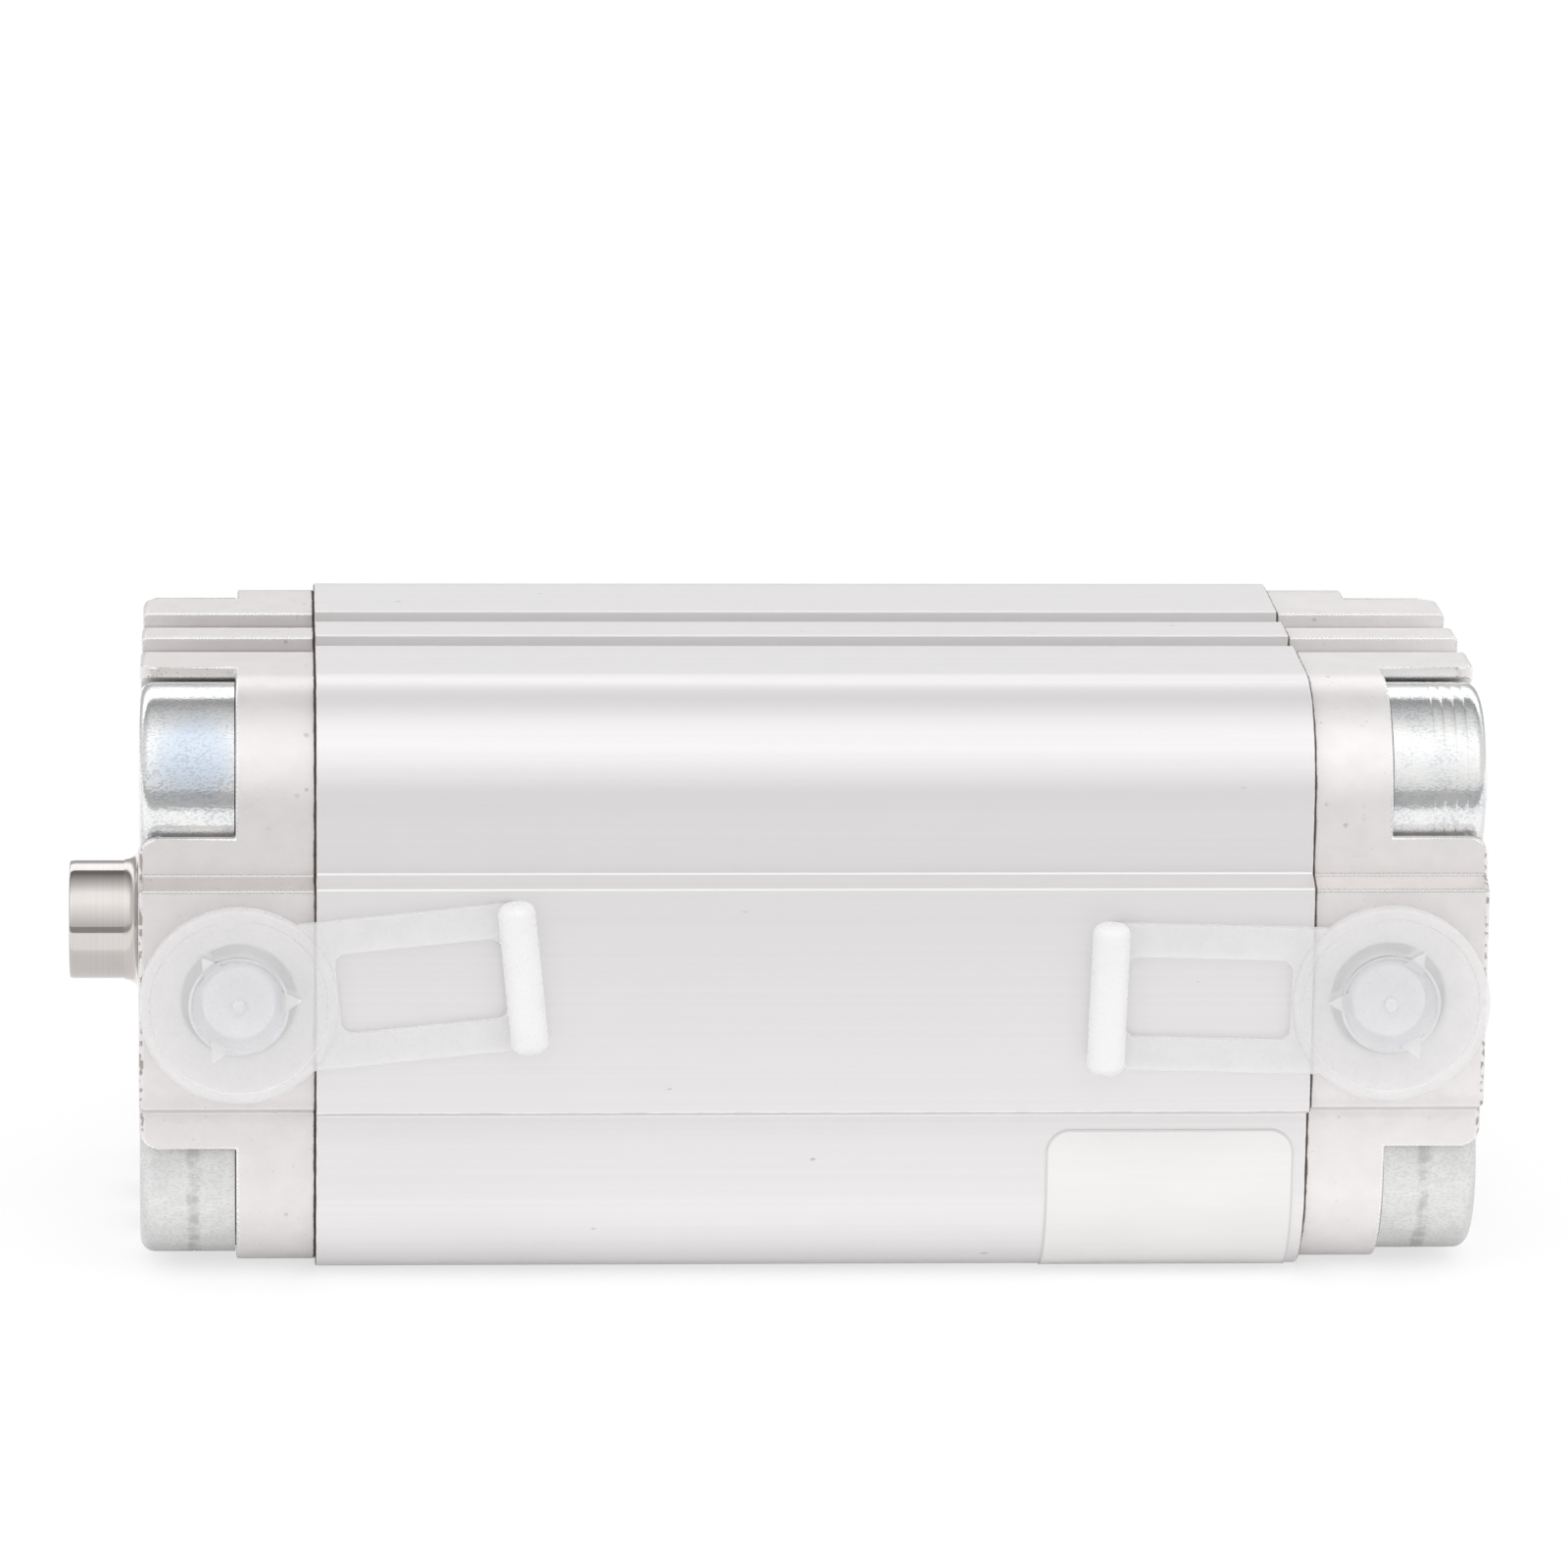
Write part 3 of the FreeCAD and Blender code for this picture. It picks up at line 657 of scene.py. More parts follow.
def port_side_grime_and_shade(place):
    """Dirt and painted shade beside the ports: dirt dashes down the caps' outer edges, and under the
    panel a thin dark line, dirt with painted contact shade, in a soft band of painted shade.
    """
    axes = split(place)
    edges = grime_lines(place, (EDGE_DIRT, REAR_FACE - EDGE_DIRT), EDGE_DIRT)
    dashes = scaled(edges, ramp(noise(place, DASH_DENSITY, 2.0), *DASH_RANGE))
    heights = upright(axes)
    level = -CAP_PANEL_HALF - EDGE_DIRT
    # Under the panel: a thin dark line, dirt with painted contact shade, and round it a soft band of
    # painted shade
    line = scaled(grime_and_shade_line(heights, level, EDGE_DIRT), PANEL_LINE)
    haze = scaled(grime_and_shade_line(heights, level, PAINTED_PANEL_SHADE_WIDTH), PAINTED_PANEL_SHADE)
    facing = ramp(axes[1], -CAP_HALF + PORT_SIDE_FADE, -CAP_HALF)
    return scaled(largest(dashes, summed(line, haze)), facing)


def slot_depth(place):
    """Rises from 0 to 1 below the mouth of a sensor slot."""
    _, side, height = split(place)
    out = largest(size_of(side), size_of(height))
    return ramp(out, CAP_HALF - SLOT_SHADE_DEPTHS[0], CAP_HALF - SLOT_SHADE_DEPTHS[1])


def anodised_aluminium(name, colour, marked):
    """Extruded and clear anodised: satin, with fine lines along X and a few nicks."""
    material, shader, place = new_material(name)
    axes = split(place)
    lines = placed(DRAW_MARKS, place, along=7.0, across=2600.0)[0]
    broad = placed(DRAW_MARKS, place, along=2.0, across=420.0)[0]
    grain = placed(CLOUDS, place, patch=9 * MM, grain=0.06 * MM)["Grain"]
    long_ways = stretched(place, NICK_STRETCH)
    nicks = placed(SPECKS, long_ways, size=0.6 * MM, amount=0.003)[0]
    marks = summed(scaled(lines, 0.5), scaled(broad, 0.5))
    base = blend(marks, shaded(colour, marked), colour)
    base = blend(scaled(nicks, 0.45), base, NICK_COLOUR)
    # A thin dark line under the raised panel beside the ports: dirt with painted contact shade
    below = grime_and_shade_line(upright(axes), -TUBE_PANEL_HALF - EDGE_DIRT / 2, EDGE_DIRT)
    side = -tube_high.z
    port_side = ramp(axes[1], side + PORT_SIDE_FADE, side, 0.0, UNDER_TUBE_PANEL)
    joints = grime_lines(place, JOINTS, TUBE_GRIME)
    grime_and_shade = largest(joints, scaled(below, port_side))
    rough = summed(between(lines, *ANODISED_ROUGHNESS), scaled(grime_and_shade, 0.3))
    feed_all(
        shader.inputs, base_color=blend(grime_and_shade, base, GRIME_AND_SHADE_COLOUR),
        metallic=between(grime_and_shade, ANODISED_SHEEN, 0.0), roughness=rough)
    relief = less(summed(lines, scaled(grain, 0.6)), nicks)
    add_bump(shader, relief, strength=0.10, distance=0.02 * MM)
    return material


def cast_aluminium(name, colour, worn, soiled, slot_shade=0.0):
    """Die cast and lightly blasted: grainy, with small pores and brown dirt near the joint."""
    material, shader, place = new_material(name)
    clouds = placed(CLOUDS, place, patch=2.2 * MM, grain=0.16 * MM)
    pores = placed(SPECKS, place, size=0.34 * MM, amount=0.035 + 0.4 * soiled)[0]
    stains = placed(SPECKS, place, size=0.8 * MM, amount=0.07 + 0.4 * soiled)[0]
    base = blend(clouds["Patches"], shaded(colour, CAST_SHADE), colour)
    base = blend(scaled(pores, 0.4 * (1 - worn) + 0.5 * soiled), base, PORE_COLOUR)
    spread = largest(grime_lines(place, JOINTS, STAIN_REACH), soiled)
    stained = scaled(stains, scaled(spread, 0.45 + 0.4 * soiled))
    base = blend(stained, base, STAIN_COLOUR)
    joints = grime_lines(place, JOINTS, CAP_GRIME)
    grime_and_shade = largest(joints, port_side_grime_and_shade(place))
    # Painted shade, darker deeper in the sensor slots
    if slot_shade:
        grime_and_shade = largest(grime_and_shade, scaled(slot_depth(place), slot_shade))
    dirt_and_shade = largest(grime_and_shade, scaled(pores, 0.4))
    rough = CAST_ROUGHNESS - WORN_POLISH * worn
    feed_all(
        shader.inputs, base_color=blend(grime_and_shade, base, GRIME_AND_SHADE_COLOUR),
        metallic=between(dirt_and_shade, CAST_SHEEN, 0.0),
        roughness=ramp(clouds["Grain"], *NOISE_RANGE, rough, rough - CAST_SPREAD))
    relief = less(clouds["Grain"], scaled(pores, 0.8))
    add_bump(shader, relief, CAST_RELIEF - WORN_RELIEF * worn, distance=0.05 * MM)
    return material


def zinc_plate(name):
    """Zinc over turning rings: bright with dark speckle, blue on one head, dull on the lower ones."""
    material, shader, place = new_material(name, metallic=ZINC_SHEEN)
    rings = placed(RING_MARKS, place, along=4200.0, across=40.0)[0]
    tint = placed(CLOUDS, place, patch=3.4 * MM, grain=0.3 * MM)["Patches"]
    squeezed = stretched(place, BLOOM_STRETCH)
    bloom = placed(CLOUDS, squeezed, patch=2.0 * MM, grain=0.32 * MM)
    patches, grain = bloom["Patches"], bloom["Grain"]
    speckle = ramp(grain, *SPECKLE_RANGE)
    cluster = ramp(tint, *CLUSTER_RANGE)
    spots = placed(SPECKS, place, size=0.26 * MM, amount=0.2)[0]
    base = blend(tint, ZINC["cool"], ZINC["warm"])
    base = blend(scaled(patches, 0.3), base, ZINC["bloom"])
    from_blue = apart(place, BLUE_PATCH)
    ragged = summed(from_blue, ramp(grain, *NOISE_RANGE, *BLUE_RAGGED))
    base = blend(ramp(ragged, *BLUE_FADE), base, ZINC["blue"])
    dark = scaled(speckle, between(cluster, 0.15, 0.45))
    base = blend(dark, base, ZINC["speckle"])
    flecks = scaled(speckle, ramp(from_blue, *FLECK_FADE))
    base = blend(flecks, base, ZINC["fleck"])
    base = blend(scaled(spots, 0.35), base, ZINC["spot"])
    grey = blend(scaled(speckle, 0.5), ZINC["dull"], ZINC["dull_speckle"])
    grey = blend(scaled(patches, 0.4), grey, ZINC["dull_patch"])
    score = GROOVES["scored"][0]
    smears = grime_lines(place, (score, REAR_FACE - score), SMEAR_WIDTH)
    smear = scaled(smears, between(patches, 0.1, 0.5))
    grey = blend(smear, grey, ZINC["smear"])
    dull = ramp(split(place)[2], -MM, MM, 1.0, 0.0)
    bright = ramp(grain, *NOISE_RANGE, *ZINC_BRIGHT)
    feed_all(
        shader.inputs, base_color=blend(dull, base, grey),
        roughness=between(dull, bright, ZINC_DULL))
    relief = summed(rings, scaled(grain, 1.5))
    add_bump(shader, relief, strength=0.2, distance=0.04 * MM)
    return material


def turned_metal(name, light, dark, roughness):
    """Metal off the lathe: polished, with fine rings and faint cloudy tarnish."""
    material, shader, place = new_material(name, metallic=1.0)
    rings = placed(RING_MARKS, place, along=6500.0, across=25.0)[0]
    clouds = placed(CLOUDS, place, patch=4 * MM, grain=0.2 * MM)
    marks = summed(scaled(rings, 0.6), scaled(clouds["Patches"], 0.4))
    feed_all(
        shader.inputs, base_color=blend(marks, dark, light),
        roughness=ramp(clouds["Grain"], *NOISE_RANGE, roughness, roughness * 1.3))
    add_bump(shader, rings, strength=0.06, distance=0.01 * MM)
    return material


def moulded(name, light, dark, roughness, grain):
    """Moulded rubber or plastic with a fine grain and faint cloudiness."""
    material, shader, place = new_material(name)
    clouds = placed(CLOUDS, place, patch=5 * MM, grain=grain)
    spread = (roughness * 0.85, roughness * 1.15)
    feed_all(
        shader.inputs, base_color=blend(clouds["Patches"], dark, light),
        roughness=ramp(clouds["Grain"], *NOISE_RANGE, *spread))
    add_bump(shader, clouds["Grain"], strength=0.15, distance=0.03 * MM)
    return material


def milky_plastic(name, haze, colour, cloudy):
    """Soft polyethylene, hazy and half clear, so that the metal behind it shows."""
    material, shader, place = new_material(name)
    clouds = placed(CLOUDS, place, patch=4 * MM, grain=0.25 * MM)
    patches = clouds["Patches"]
    feed_all(
        shader.inputs, base_color=blend(patches, shaded(colour, 1 - cloudy / 4), colour),
        roughness=ramp(clouds["Grain"], *NOISE_RANGE, *MILKY_ROUGHNESS),
        alpha=between(patches, haze * (1 - cloudy), haze))
    add_bump(shader, clouds["Grain"], strength=0.08, distance=0.03 * MM)
    tree = material.node_tree
    in_shadow = node(tree, "LightPath").outputs["Is Shadow Ray"]
    clear = node(tree, "BsdfTransparent").outputs[0]
    mix = node(tree, "MixShader", {0: in_shadow, 1: shader.outputs[0], 2: clear})
    feed(tree.nodes["Material Output"].inputs["Surface"], mix.outputs[0])
    return material


def label_film(name):
    """White satin film with a thin darker line inside its edge and a faint rub of dirt."""
    material, shader, place = new_material(name)
    clouds = placed(CLOUDS, place, patch=6 * MM, grain=0.2 * MM)
    rub = placed(DRAW_MARKS, place, along=60.0, across=1500.0)[0]
    base = blend(clouds["Patches"], FILM_SHADED, FILM_WHITE)
    base = blend(scaled(rub, 0.05), base, RUB_COLOUR)
    along, _, height = split(place)
    middle = (label_low.x + label_high.x) / 2
    straight = (label_high.x - label_low.x) / 2 - LABEL_CORNER
    aside = less(size_of(less(along, middle)), straight)
    above = less(height, label_high.z - LABEL_CORNER)
    corner = combined(largest(aside, 0.0), largest(above, 0.0))
    border = ramp(apart(corner), *(LABEL_CORNER - inset for inset in BORDER_INSET))
    feed_all(
        shader.inputs, base_color=blend(border, base, BORDER_COLOUR),
        roughness=between(rub, *FILM_ROUGHNESS))
    add_bump(shader, clouds["Grain"], strength=0.05, distance=0.02 * MM)
    return material


# Each finish with the function that makes it, and that function's values
FINISH_VALUES = {
    "anodised_aluminium": (anodised_aluminium, (0.872, 0.856, 0.860), 0.965),
    # Lighter copy for the tube's rounded edges: painted highlight
    "anodised_edge": (anodised_aluminium, (0.92, 0.91, 0.91), 0.98),
    # Darker copy for the tube's panel steps: painted shade
    "anodised_step": (anodised_aluminium, (0.79, 0.77, 0.765), 0.97),
    "cast_aluminium": (cast_aluminium, (0.855, 0.826, 0.822), 0.0, 0.0),
    "clean_casting": (cast_aluminium, (0.90, 0.872, 0.868), 0.0, 0.0),
    # Darker copy for the edges of the cap's panel step: painted shade on their highlight
    "panel_edge": (cast_aluminium, (0.66, 0.645, 0.64), 0.7, 0.0),
    "cast_edge": (cast_aluminium, (0.93, 0.915, 0.91), 0.8, 0.0),
    "worn_edge": (cast_aluminium, (0.93, 0.915, 0.91), 0.5, 0.1),
    "soiled_edge": (cast_aluminium, (0.80, 0.76, 0.73), 0.2, 0.9),
    # Darker copies for the caps' panel steps: painted shade
    "soiled_step": (cast_aluminium, (0.66, 0.63, 0.615), 0.0, 0.3),
    "clean_step": (cast_aluminium, (0.84, 0.80, 0.785), 0.0, 0.05),
    # Slot walls: lighter copies, painted light, darkening deeper down into painted shade
    "slot_wall": (cast_aluminium, (0.89, 0.865, 0.86), 0.0, 0.1, 0.6),
    "clean_slot": (cast_aluminium, (0.97, 0.95, 0.945), 0.0, 0.0, 0.35),
    # Dark turned metal inside the ports: painted shade
    "threaded_bore": (turned_metal, (0.30, 0.295, 0.29), (0.22, 0.215, 0.21), 0.34),
    "zinc_plate": (zinc_plate,),
    "polished_steel": (turned_metal, (0.63, 0.595, 0.58), (0.57, 0.537, 0.523), 0.05),
    "bearing_bronze": (turned_metal, (0.72, 0.50, 0.28), (0.55, 0.36, 0.19), 0.30),
    "turned_aluminium": (turned_metal, (0.79, 0.79, 0.80), (0.70, 0.70, 0.71), 0.26),
    "black_steel": (turned_metal, (0.10, 0.10, 0.105), (0.05, 0.05, 0.055), 0.38),
    "wiper_lip": (turned_metal, (0.66, 0.62, 0.60), (0.60, 0.565, 0.545), 0.14),
    "seal_rubber": (moulded, (0.030, 0.030, 0.032), (0.018, 0.018, 0.019), 0.55, 0.10 * MM),
    "buffer_rubber": (moulded, (0.045, 0.047, 0.05), (0.028, 0.029, 0.03), 0.60, 0.14 * MM),
    "magnet_plastic": (moulded, (0.085, 0.075, 0.07), (0.055, 0.05, 0.047), 0.50, 0.10 * MM),
    "guide_plastic": (moulded, (0.20, 0.19, 0.17), (0.14, 0.13, 0.12), 0.45, 0.10 * MM),
    "milky_plastic": (milky_plastic, 0.48, (0.975, 0.97, 0.972), 0.06),
    "milky_bar": (milky_plastic, 0.98, (0.995, 0.99, 0.995), 0.03),
    "milky_rim": (milky_plastic, 0.72, (0.985, 0.98, 0.985), 0.05),
    "milky_core": (milky_plastic, 0.78, (0.93, 0.925, 0.955), 0.04),
    "label_film": (label_film,),
}
FINISHES = {name: make(name, *values) for name, (make, *values) in FINISH_VALUES.items()}

# Slots of the tube's, the caps' and the plugs' finishes
BARE, EDGE = 0, 1
TUBE_STEP = 2
CAP_WORN, CAP_BORE, CAP_STEP, CAP_SLOT, CAP_PANEL = 2, 3, 4, 5, 6
PLUG_FLAT, PLUG_BAR, PLUG_RIDGE, PLUG_CORE = 0, 1, 2, 3

# CAD nodes that stay in the picture, by finish
CAD_FINISHES = {
    "seal_rubber": (
        "front_tube_seal", "rear_tube_seal", "piston_seal_front", "piston_seal_rear", "rod_o_ring"),
    "buffer_rubber": ("front_buffer", "rear_buffer"),
    "bearing_bronze": ("rod_bush",),
    "turned_aluminium": ("piston_front_half", "piston_rear_half"),
    "magnet_plastic": ("magnet_ring",),
    "guide_plastic": ("guide_ring",),
    "black_steel": ("piston_screw",),
    "label_film": ("label_film",),
}


def finish_with(piece, *finishes):
    piece.data.materials.clear()
    for finish in finishes:
        piece.data.materials.append(FINISHES[finish])


def settle(piece, body, finish, *nodes):
    """Hands a piece to the frame: the body it rides on, and the nodes it stands for. Its finish is not
    used.
    """
    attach(piece, body)
    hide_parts(*nodes)


def dress_cad_nodes():
    for finish, names in CAD_FINISHES.items():
        for name in names:
            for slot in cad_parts[name].material_slots:
                slot.material = FINISHES[finish]


def dress_tube():
    tube = merged_copy("profile_tube", "tube_profile")
    finish_with(tube, "anodised_aluminium", "anodised_edge", "anodised_step")
    soften(tube, TUBE_EDGE)
    # Step faces above the panel get a darker copy of the finish: painted shade
    for face in tube.data.polygons:
        beside = TUBE_PANEL_HALF < face.center.z < TUBE_PANEL_HALF + CAP_PANEL_SLOPE
        raised = tube_low.y < face.center.y < -tube_high.z
        if beside and raised and face.material_index == BARE:
            face.material_index = TUBE_STEP
    settle(tube, "housing", "anodised_aluminium", "profile_tube")


def round_notches(cap):
    """Rounds the long edges of the screw notches, which the casting leaves soft and worn."""

    def on_notch_edge(vertex):
        near, far = sorted((abs(vertex.co.y), abs(vertex.co.z)))
        return abs(near - NOTCH_PLANE) < MERGE and abs(far - CAP_HALF) < MERGE

    edit(cap)
    pick("EDGE", lambda edge: all(on_notch_edge(vertex) for vertex in edge.verts))
    bpy.ops.mesh.bevel(
        offset=NOTCH_EDGE, segments=NOTCH_SEGMENTS, affect="EDGES", clamp_overlap=False,
        material=CAP_WORN)
    done()


def soil_notch_walls(cap):
    """Gives the upper notch wall beside the ports its dirt."""
    for face in cap.data.polygons:
        on_wall = abs(face.center.y + NOTCH_PLANE) < NOTCH_EDGE / 2 and abs(face.normal.y) > FACING
        if on_wall and face.center.z > NOTCH_PLANE:
            face.material_index = CAP_WORN


def mark_panel_steps(cap):
    """Gives the step above the port panel a darker finish, painted shade, and that step's rounded
    edges a darker edge finish, painted shade on their highlight; the one below gets no bright edge.
    """
    low = CAP_PANEL_HALF - CAP_EDGE
    high = CAP_PANEL_HALF + CAP_PANEL_SLOPE + CAP_EDGE
    for face in cap.data.polygons:
        raised = PORT_FACE - MERGE < face.center.y < -CAP_HALF + CAP_EDGE
        if not raised or not low < abs(face.center.z) < high:
            continue
        if face.center.z < 0:
            face.material_index = BARE
        elif face.material_index == BARE and face.normal.z > UPWARD:
            face.material_index = CAP_STEP
        elif face.material_index == EDGE:
            face.material_index = CAP_PANEL


def mark_slot_walls(cap):
    """Gives the walls of the sensor slots their own finish: a lighter colour, painted light, that
    darkens deeper down into painted shade.
    """
    for face in cap.data.polygons:
        near, far = sorted((abs(face.center.y), abs(face.center.z)))
        sideways = face.normal.y if abs(face.center.z) > abs(face.center.y) else face.normal.z
        at_wall = abs(abs(near - SLOT_CENTRE) - CAP_SLOT_HALF) < MERGE and abs(sideways) > FACING
        if face.material_index == BARE and at_wall and CAP_HALF - SLOT_DEPTH < far < CAP_HALF:
            face.material_index = CAP_SLOT


def widen_port(cap, place):
    """Opens the port's bore out to the bottom of its thread, and gives it its own dark finish, a
    painted shade inside the port.
    """

    def off_axis(point):
        return math.hypot(point.x - place, point.z)

    def in_port(point):
        return PORT_FACE - MERGE < point.y < PORT_FACE + PORT_DEPTH + MERGE

    edit(cap)
    near = 2 * MERGE
    pick("VERT", lambda vertex: in_port(vertex.co) and abs(off_axis(vertex.co) - PORT_BORE) < near)
    grow = PORT_WALL / PORT_BORE
    bpy.ops.transform.resize(value=(grow, 1.0, grow), center_override=(place, 0, 0))
    done()
    for face in cap.data.polygons:
        points = [cap.data.vertices[index].co for index in face.vertices]
        if all(in_port(point) and off_axis(point) < PORT_WALL + near for point in points):
            face.material_index = CAP_BORE


def port_thread(name, place):
    depth = PORT_DEPTH - PORT_BEVEL
    thread = screw_thread(name, 0.0, depth, PORT_BORE, PORT_THREAD, PORT_PITCH)
    quarter_turn = Matrix.Rotation(math.pi / 2, 4, "Z")
    thread.data.transform(Matrix.Translation((place, PORT_FACE + PORT_BEVEL, 0)) @ quarter_turn)
    finish_with(thread, "threaded_bore")
    smooth(thread)
    return thread


CAP_FINISHES = {
    "front": (
        "cast_aluminium", "cast_edge", "soiled_edge", "threaded_bore", "soiled_step", "slot_wall",
        "panel_edge"),
    "rear": (
        "clean_casting", "cast_edge", "worn_edge", "threaded_bore", "clean_step", "clean_slot",
        "panel_edge"),
}


def dress_caps():
    for end, place in (("front", PORT_INSET), ("rear", REAR_FACE - PORT_INSET)):
        cap = merged_copy(f"{end}_cap", f"{end}_cap_casting")
        finish_with(cap, *CAP_FINISHES[end])
        widen_port(cap, place)
        round_notches(cap)
        soil_notch_walls(cap)
        soften(cap, CAP_EDGE)
        mark_panel_steps(cap)
        mark_slot_walls(cap)
        join(cap, port_thread("port_thread", place))
        settle(cap, "housing", "cast_aluminium", f"{end}_cap")


def groove(place):
    """Points of a shallow turned groove round the screw head."""
    half = GROOVE_WIDTH / 2
    bottom = HEAD_RADIUS - GROOVE_DEPTH
    return [(place - half, HEAD_RADIUS), (place, bottom), (place + half, HEAD_RADIUS)]


def collar_screw(name, grooves):
    """Screw with a rounded collar head, drilled and threaded from its outer face at X = 0."""
    drill_tip = MOUNT_THREAD_DEPTH + THREAD_MAJOR / 2
    outline = [
        (drill_tip, 0.0),
        (MOUNT_THREAD_DEPTH, THREAD_MAJOR),
        (MOUTH_BEVEL, THREAD_MAJOR),
        (0.0, THREAD_MAJOR + MOUTH_BEVEL / 2),
        (0.0, HEAD_RADIUS),
    ]
    rim = len(outline) - 1
    for place in grooves:
        outline += groove(place)
    outline += [
        (HEAD_LENGTH, HEAD_RADIUS),
        (HEAD_LENGTH, NECK_RADIUS),
        (NECK_END, NECK_RADIUS),
        (NECK_END, SHANK_RADIUS),
        (SCREW_TIP - MOUTH_BEVEL, SHANK_RADIUS),
        (SCREW_TIP, SHANK_RADIUS - MOUTH_BEVEL),
        (SCREW_TIP, 0.0),
    ]
    screw = turned(name, outline, rounds=[(rim, HEAD_ROUND, HEAD_SEGMENTS)])
    depth = MOUNT_THREAD_DEPTH - MOUTH_BEVEL
    thread = screw_thread(name + "_thread", MOUTH_BEVEL, depth, *MOUNT_THREAD)
    join(screw, thread)
    smooth(screw)
    finish_with(screw, "zinc_plate")
    return screw


def dress_screws():
    """Eight screws, some with turning grooves left round the head."""
    corners = ((-1, 1), (-1, -1), (1, 1), (1, -1))
    heads = {
        "front": ("plain", "scored", "plain", "ringed"),
        "rear": ("ringed", "scored", "plain", "ringed"),
    }
    half_turn = Matrix.Translation((REAR_FACE, 0, 0)) @ Matrix.Rotation(math.pi, 4, "Z")
    masters = {kind: collar_screw(f"{kind}_screw", grooves) for kind, grooves in GROOVES.items()}
    for end, place in (("front", Matrix.Identity(4)), ("rear", half_turn)):
        for number, (side, height) in enumerate(corners):
            corner = Matrix.Translation((0, side * SCREW_OFFSET, height * SCREW_OFFSET))
            turn = Matrix.Rotation(number * SCREW_TURN, 4, "X")
            master = masters[heads[end][number]]
            screw = copied(master, f"{end}_screw_{number + 1}", corner @ place @ turn)
            settle(screw, "housing", "zinc_plate", f"{end}_screws")
    for master in masters.values():
        bpy.data.objects.remove(master)


def dress_rod():
    """Plain polished rod with a threaded end, hollow behind for the piston's screw."""
    tip = rod_low.x
    thread_end = tip + ROD_THREAD_DEPTH
    hole_end = rod_high.x - SCREW_HOLE_DEPTH
    outline = [
        (thread_end + THREAD_MAJOR / 2, 0.0),
        (thread_end, THREAD_MAJOR),
        (tip + MOUTH_BEVEL, THREAD_MAJOR),
        (tip, THREAD_MAJOR + MOUTH_BEVEL),
        (tip, ROD_RADIUS - ROD_TAPER),
        (tip + ROD_LEAD, ROD_RADIUS),
        (ROD_SHOULDER, ROD_RADIUS),
        (ROD_SHOULDER, ROD_NECK_RADIUS),
        (rod_high.x, ROD_NECK_RADIUS),
        (rod_high.x, SCREW_HOLE_RADIUS),
        (hole_end, SCREW_HOLE_RADIUS),
        (hole_end, 0.0),
    ]
    rim = outline.index((tip, ROD_RADIUS - ROD_TAPER))
    rounds = [(rim, ROD_TIP_ROUND, ROD_TIP_SEGMENTS)]
    rod = turned("rod_polished", outline, rounds=rounds, steps=FINE_STEPS)
    depth = ROD_THREAD_DEPTH - MOUTH_BEVEL
    thread = screw_thread("rod_thread", tip + MOUTH_BEVEL, depth, *MOUNT_THREAD)
    join(rod, thread)
    smooth(rod)
    finish_with(rod, "polished_steel")
    settle(rod, "rod", "polished_steel", "piston_rod")


def dress_wiper():
    """Seal body with a lip that flares out in a hollow curve from the rod to the cap."""
    outline = [(WIPER_TIP, WIPER_BORE)]
    for step in range(WIPER_CURVE + 1):
        turn = math.pi / 2 * step / WIPER_CURVE
        along = WIPER_TIP + (WIPER_FLARE - WIPER_TIP) * math.sin(turn)
        outline.append((along, WIPER_LIP + (WIPER_FOOT - WIPER_LIP) * (1 - math.cos(turn))))
    outline += [
        (WIPER_FLARE, WIPER_NECK),
        (WIPER_SHOULDER, WIPER_NECK),
        (WIPER_SHOULDER, WIPER_BODY),
        (wiper_high.x, WIPER_BODY),
        (wiper_high.x, WIPER_BORE),
        (WIPER_TIP, WIPER_BORE),
    ]
    wiper = turned("rod_wiper_lip", outline)
    smooth(wiper)
    finish_with(wiper, "wiper_lip")
    settle(wiper, "housing", "wiper_plastic", "rod_wiper")


def plug_body(name):
    """Cup-shaped plug with a rimmed flange, about the Y axis."""
    inner = RECESS_RADIUS - SHANK_WALL
    bead_face = FLANGE_FACE - BEAD_RISE
    outline = [
        (RIM_FACE, 0.0),
        (RIM_FACE, NUB_RADIUS),
        (RECESS_FACE, NUB_RADIUS),
        (RECESS_FACE - BEAD_RISE, NUB_RING),
        (RECESS_FACE - BEAD_RISE, DISH_RADIUS),
        (RECESS_FACE - PLUG_EDGE, DISH_RADIUS + PLUG_EDGE),
        (RECESS_FACE - PLUG_EDGE, RECESS_RADIUS - PLUG_EDGE),
        (bead_face, RECESS_RADIUS),
        (bead_face, RECESS_RADIUS + BEAD_WIDTH),
        (FLANGE_FACE, RECESS_RADIUS + BEAD_WIDTH + PLUG_EDGE),
        (FLANGE_FACE, RIM_INNER),
        (RIM_FACE, RIM_INNER + PLUG_EDGE),
        (RIM_FACE, FLANGE_RADIUS),
        (FLANGE_BACK, FLANGE_RADIUS),
        (FLANGE_BACK, RECESS_RADIUS),
        (SHANK_END, RECESS_RADIUS - PLUG_EDGE),
        (SHANK_END, inner),
        (FLANGE_BACK, inner),
        (FLANGE_BACK, 0.0),
    ]
    # Points of the outline that are rounded, each with its radius and segments
    rounds = [(1, NUB_ROUND, 3), (12, RIM_ROUND, 4), (13, BACK_ROUND, 3), (15, SHANK_ROUND, 3)]
    return turned(name, outline, rounds=rounds, axis=ALONG_Y, steps=FINE_STEPS)


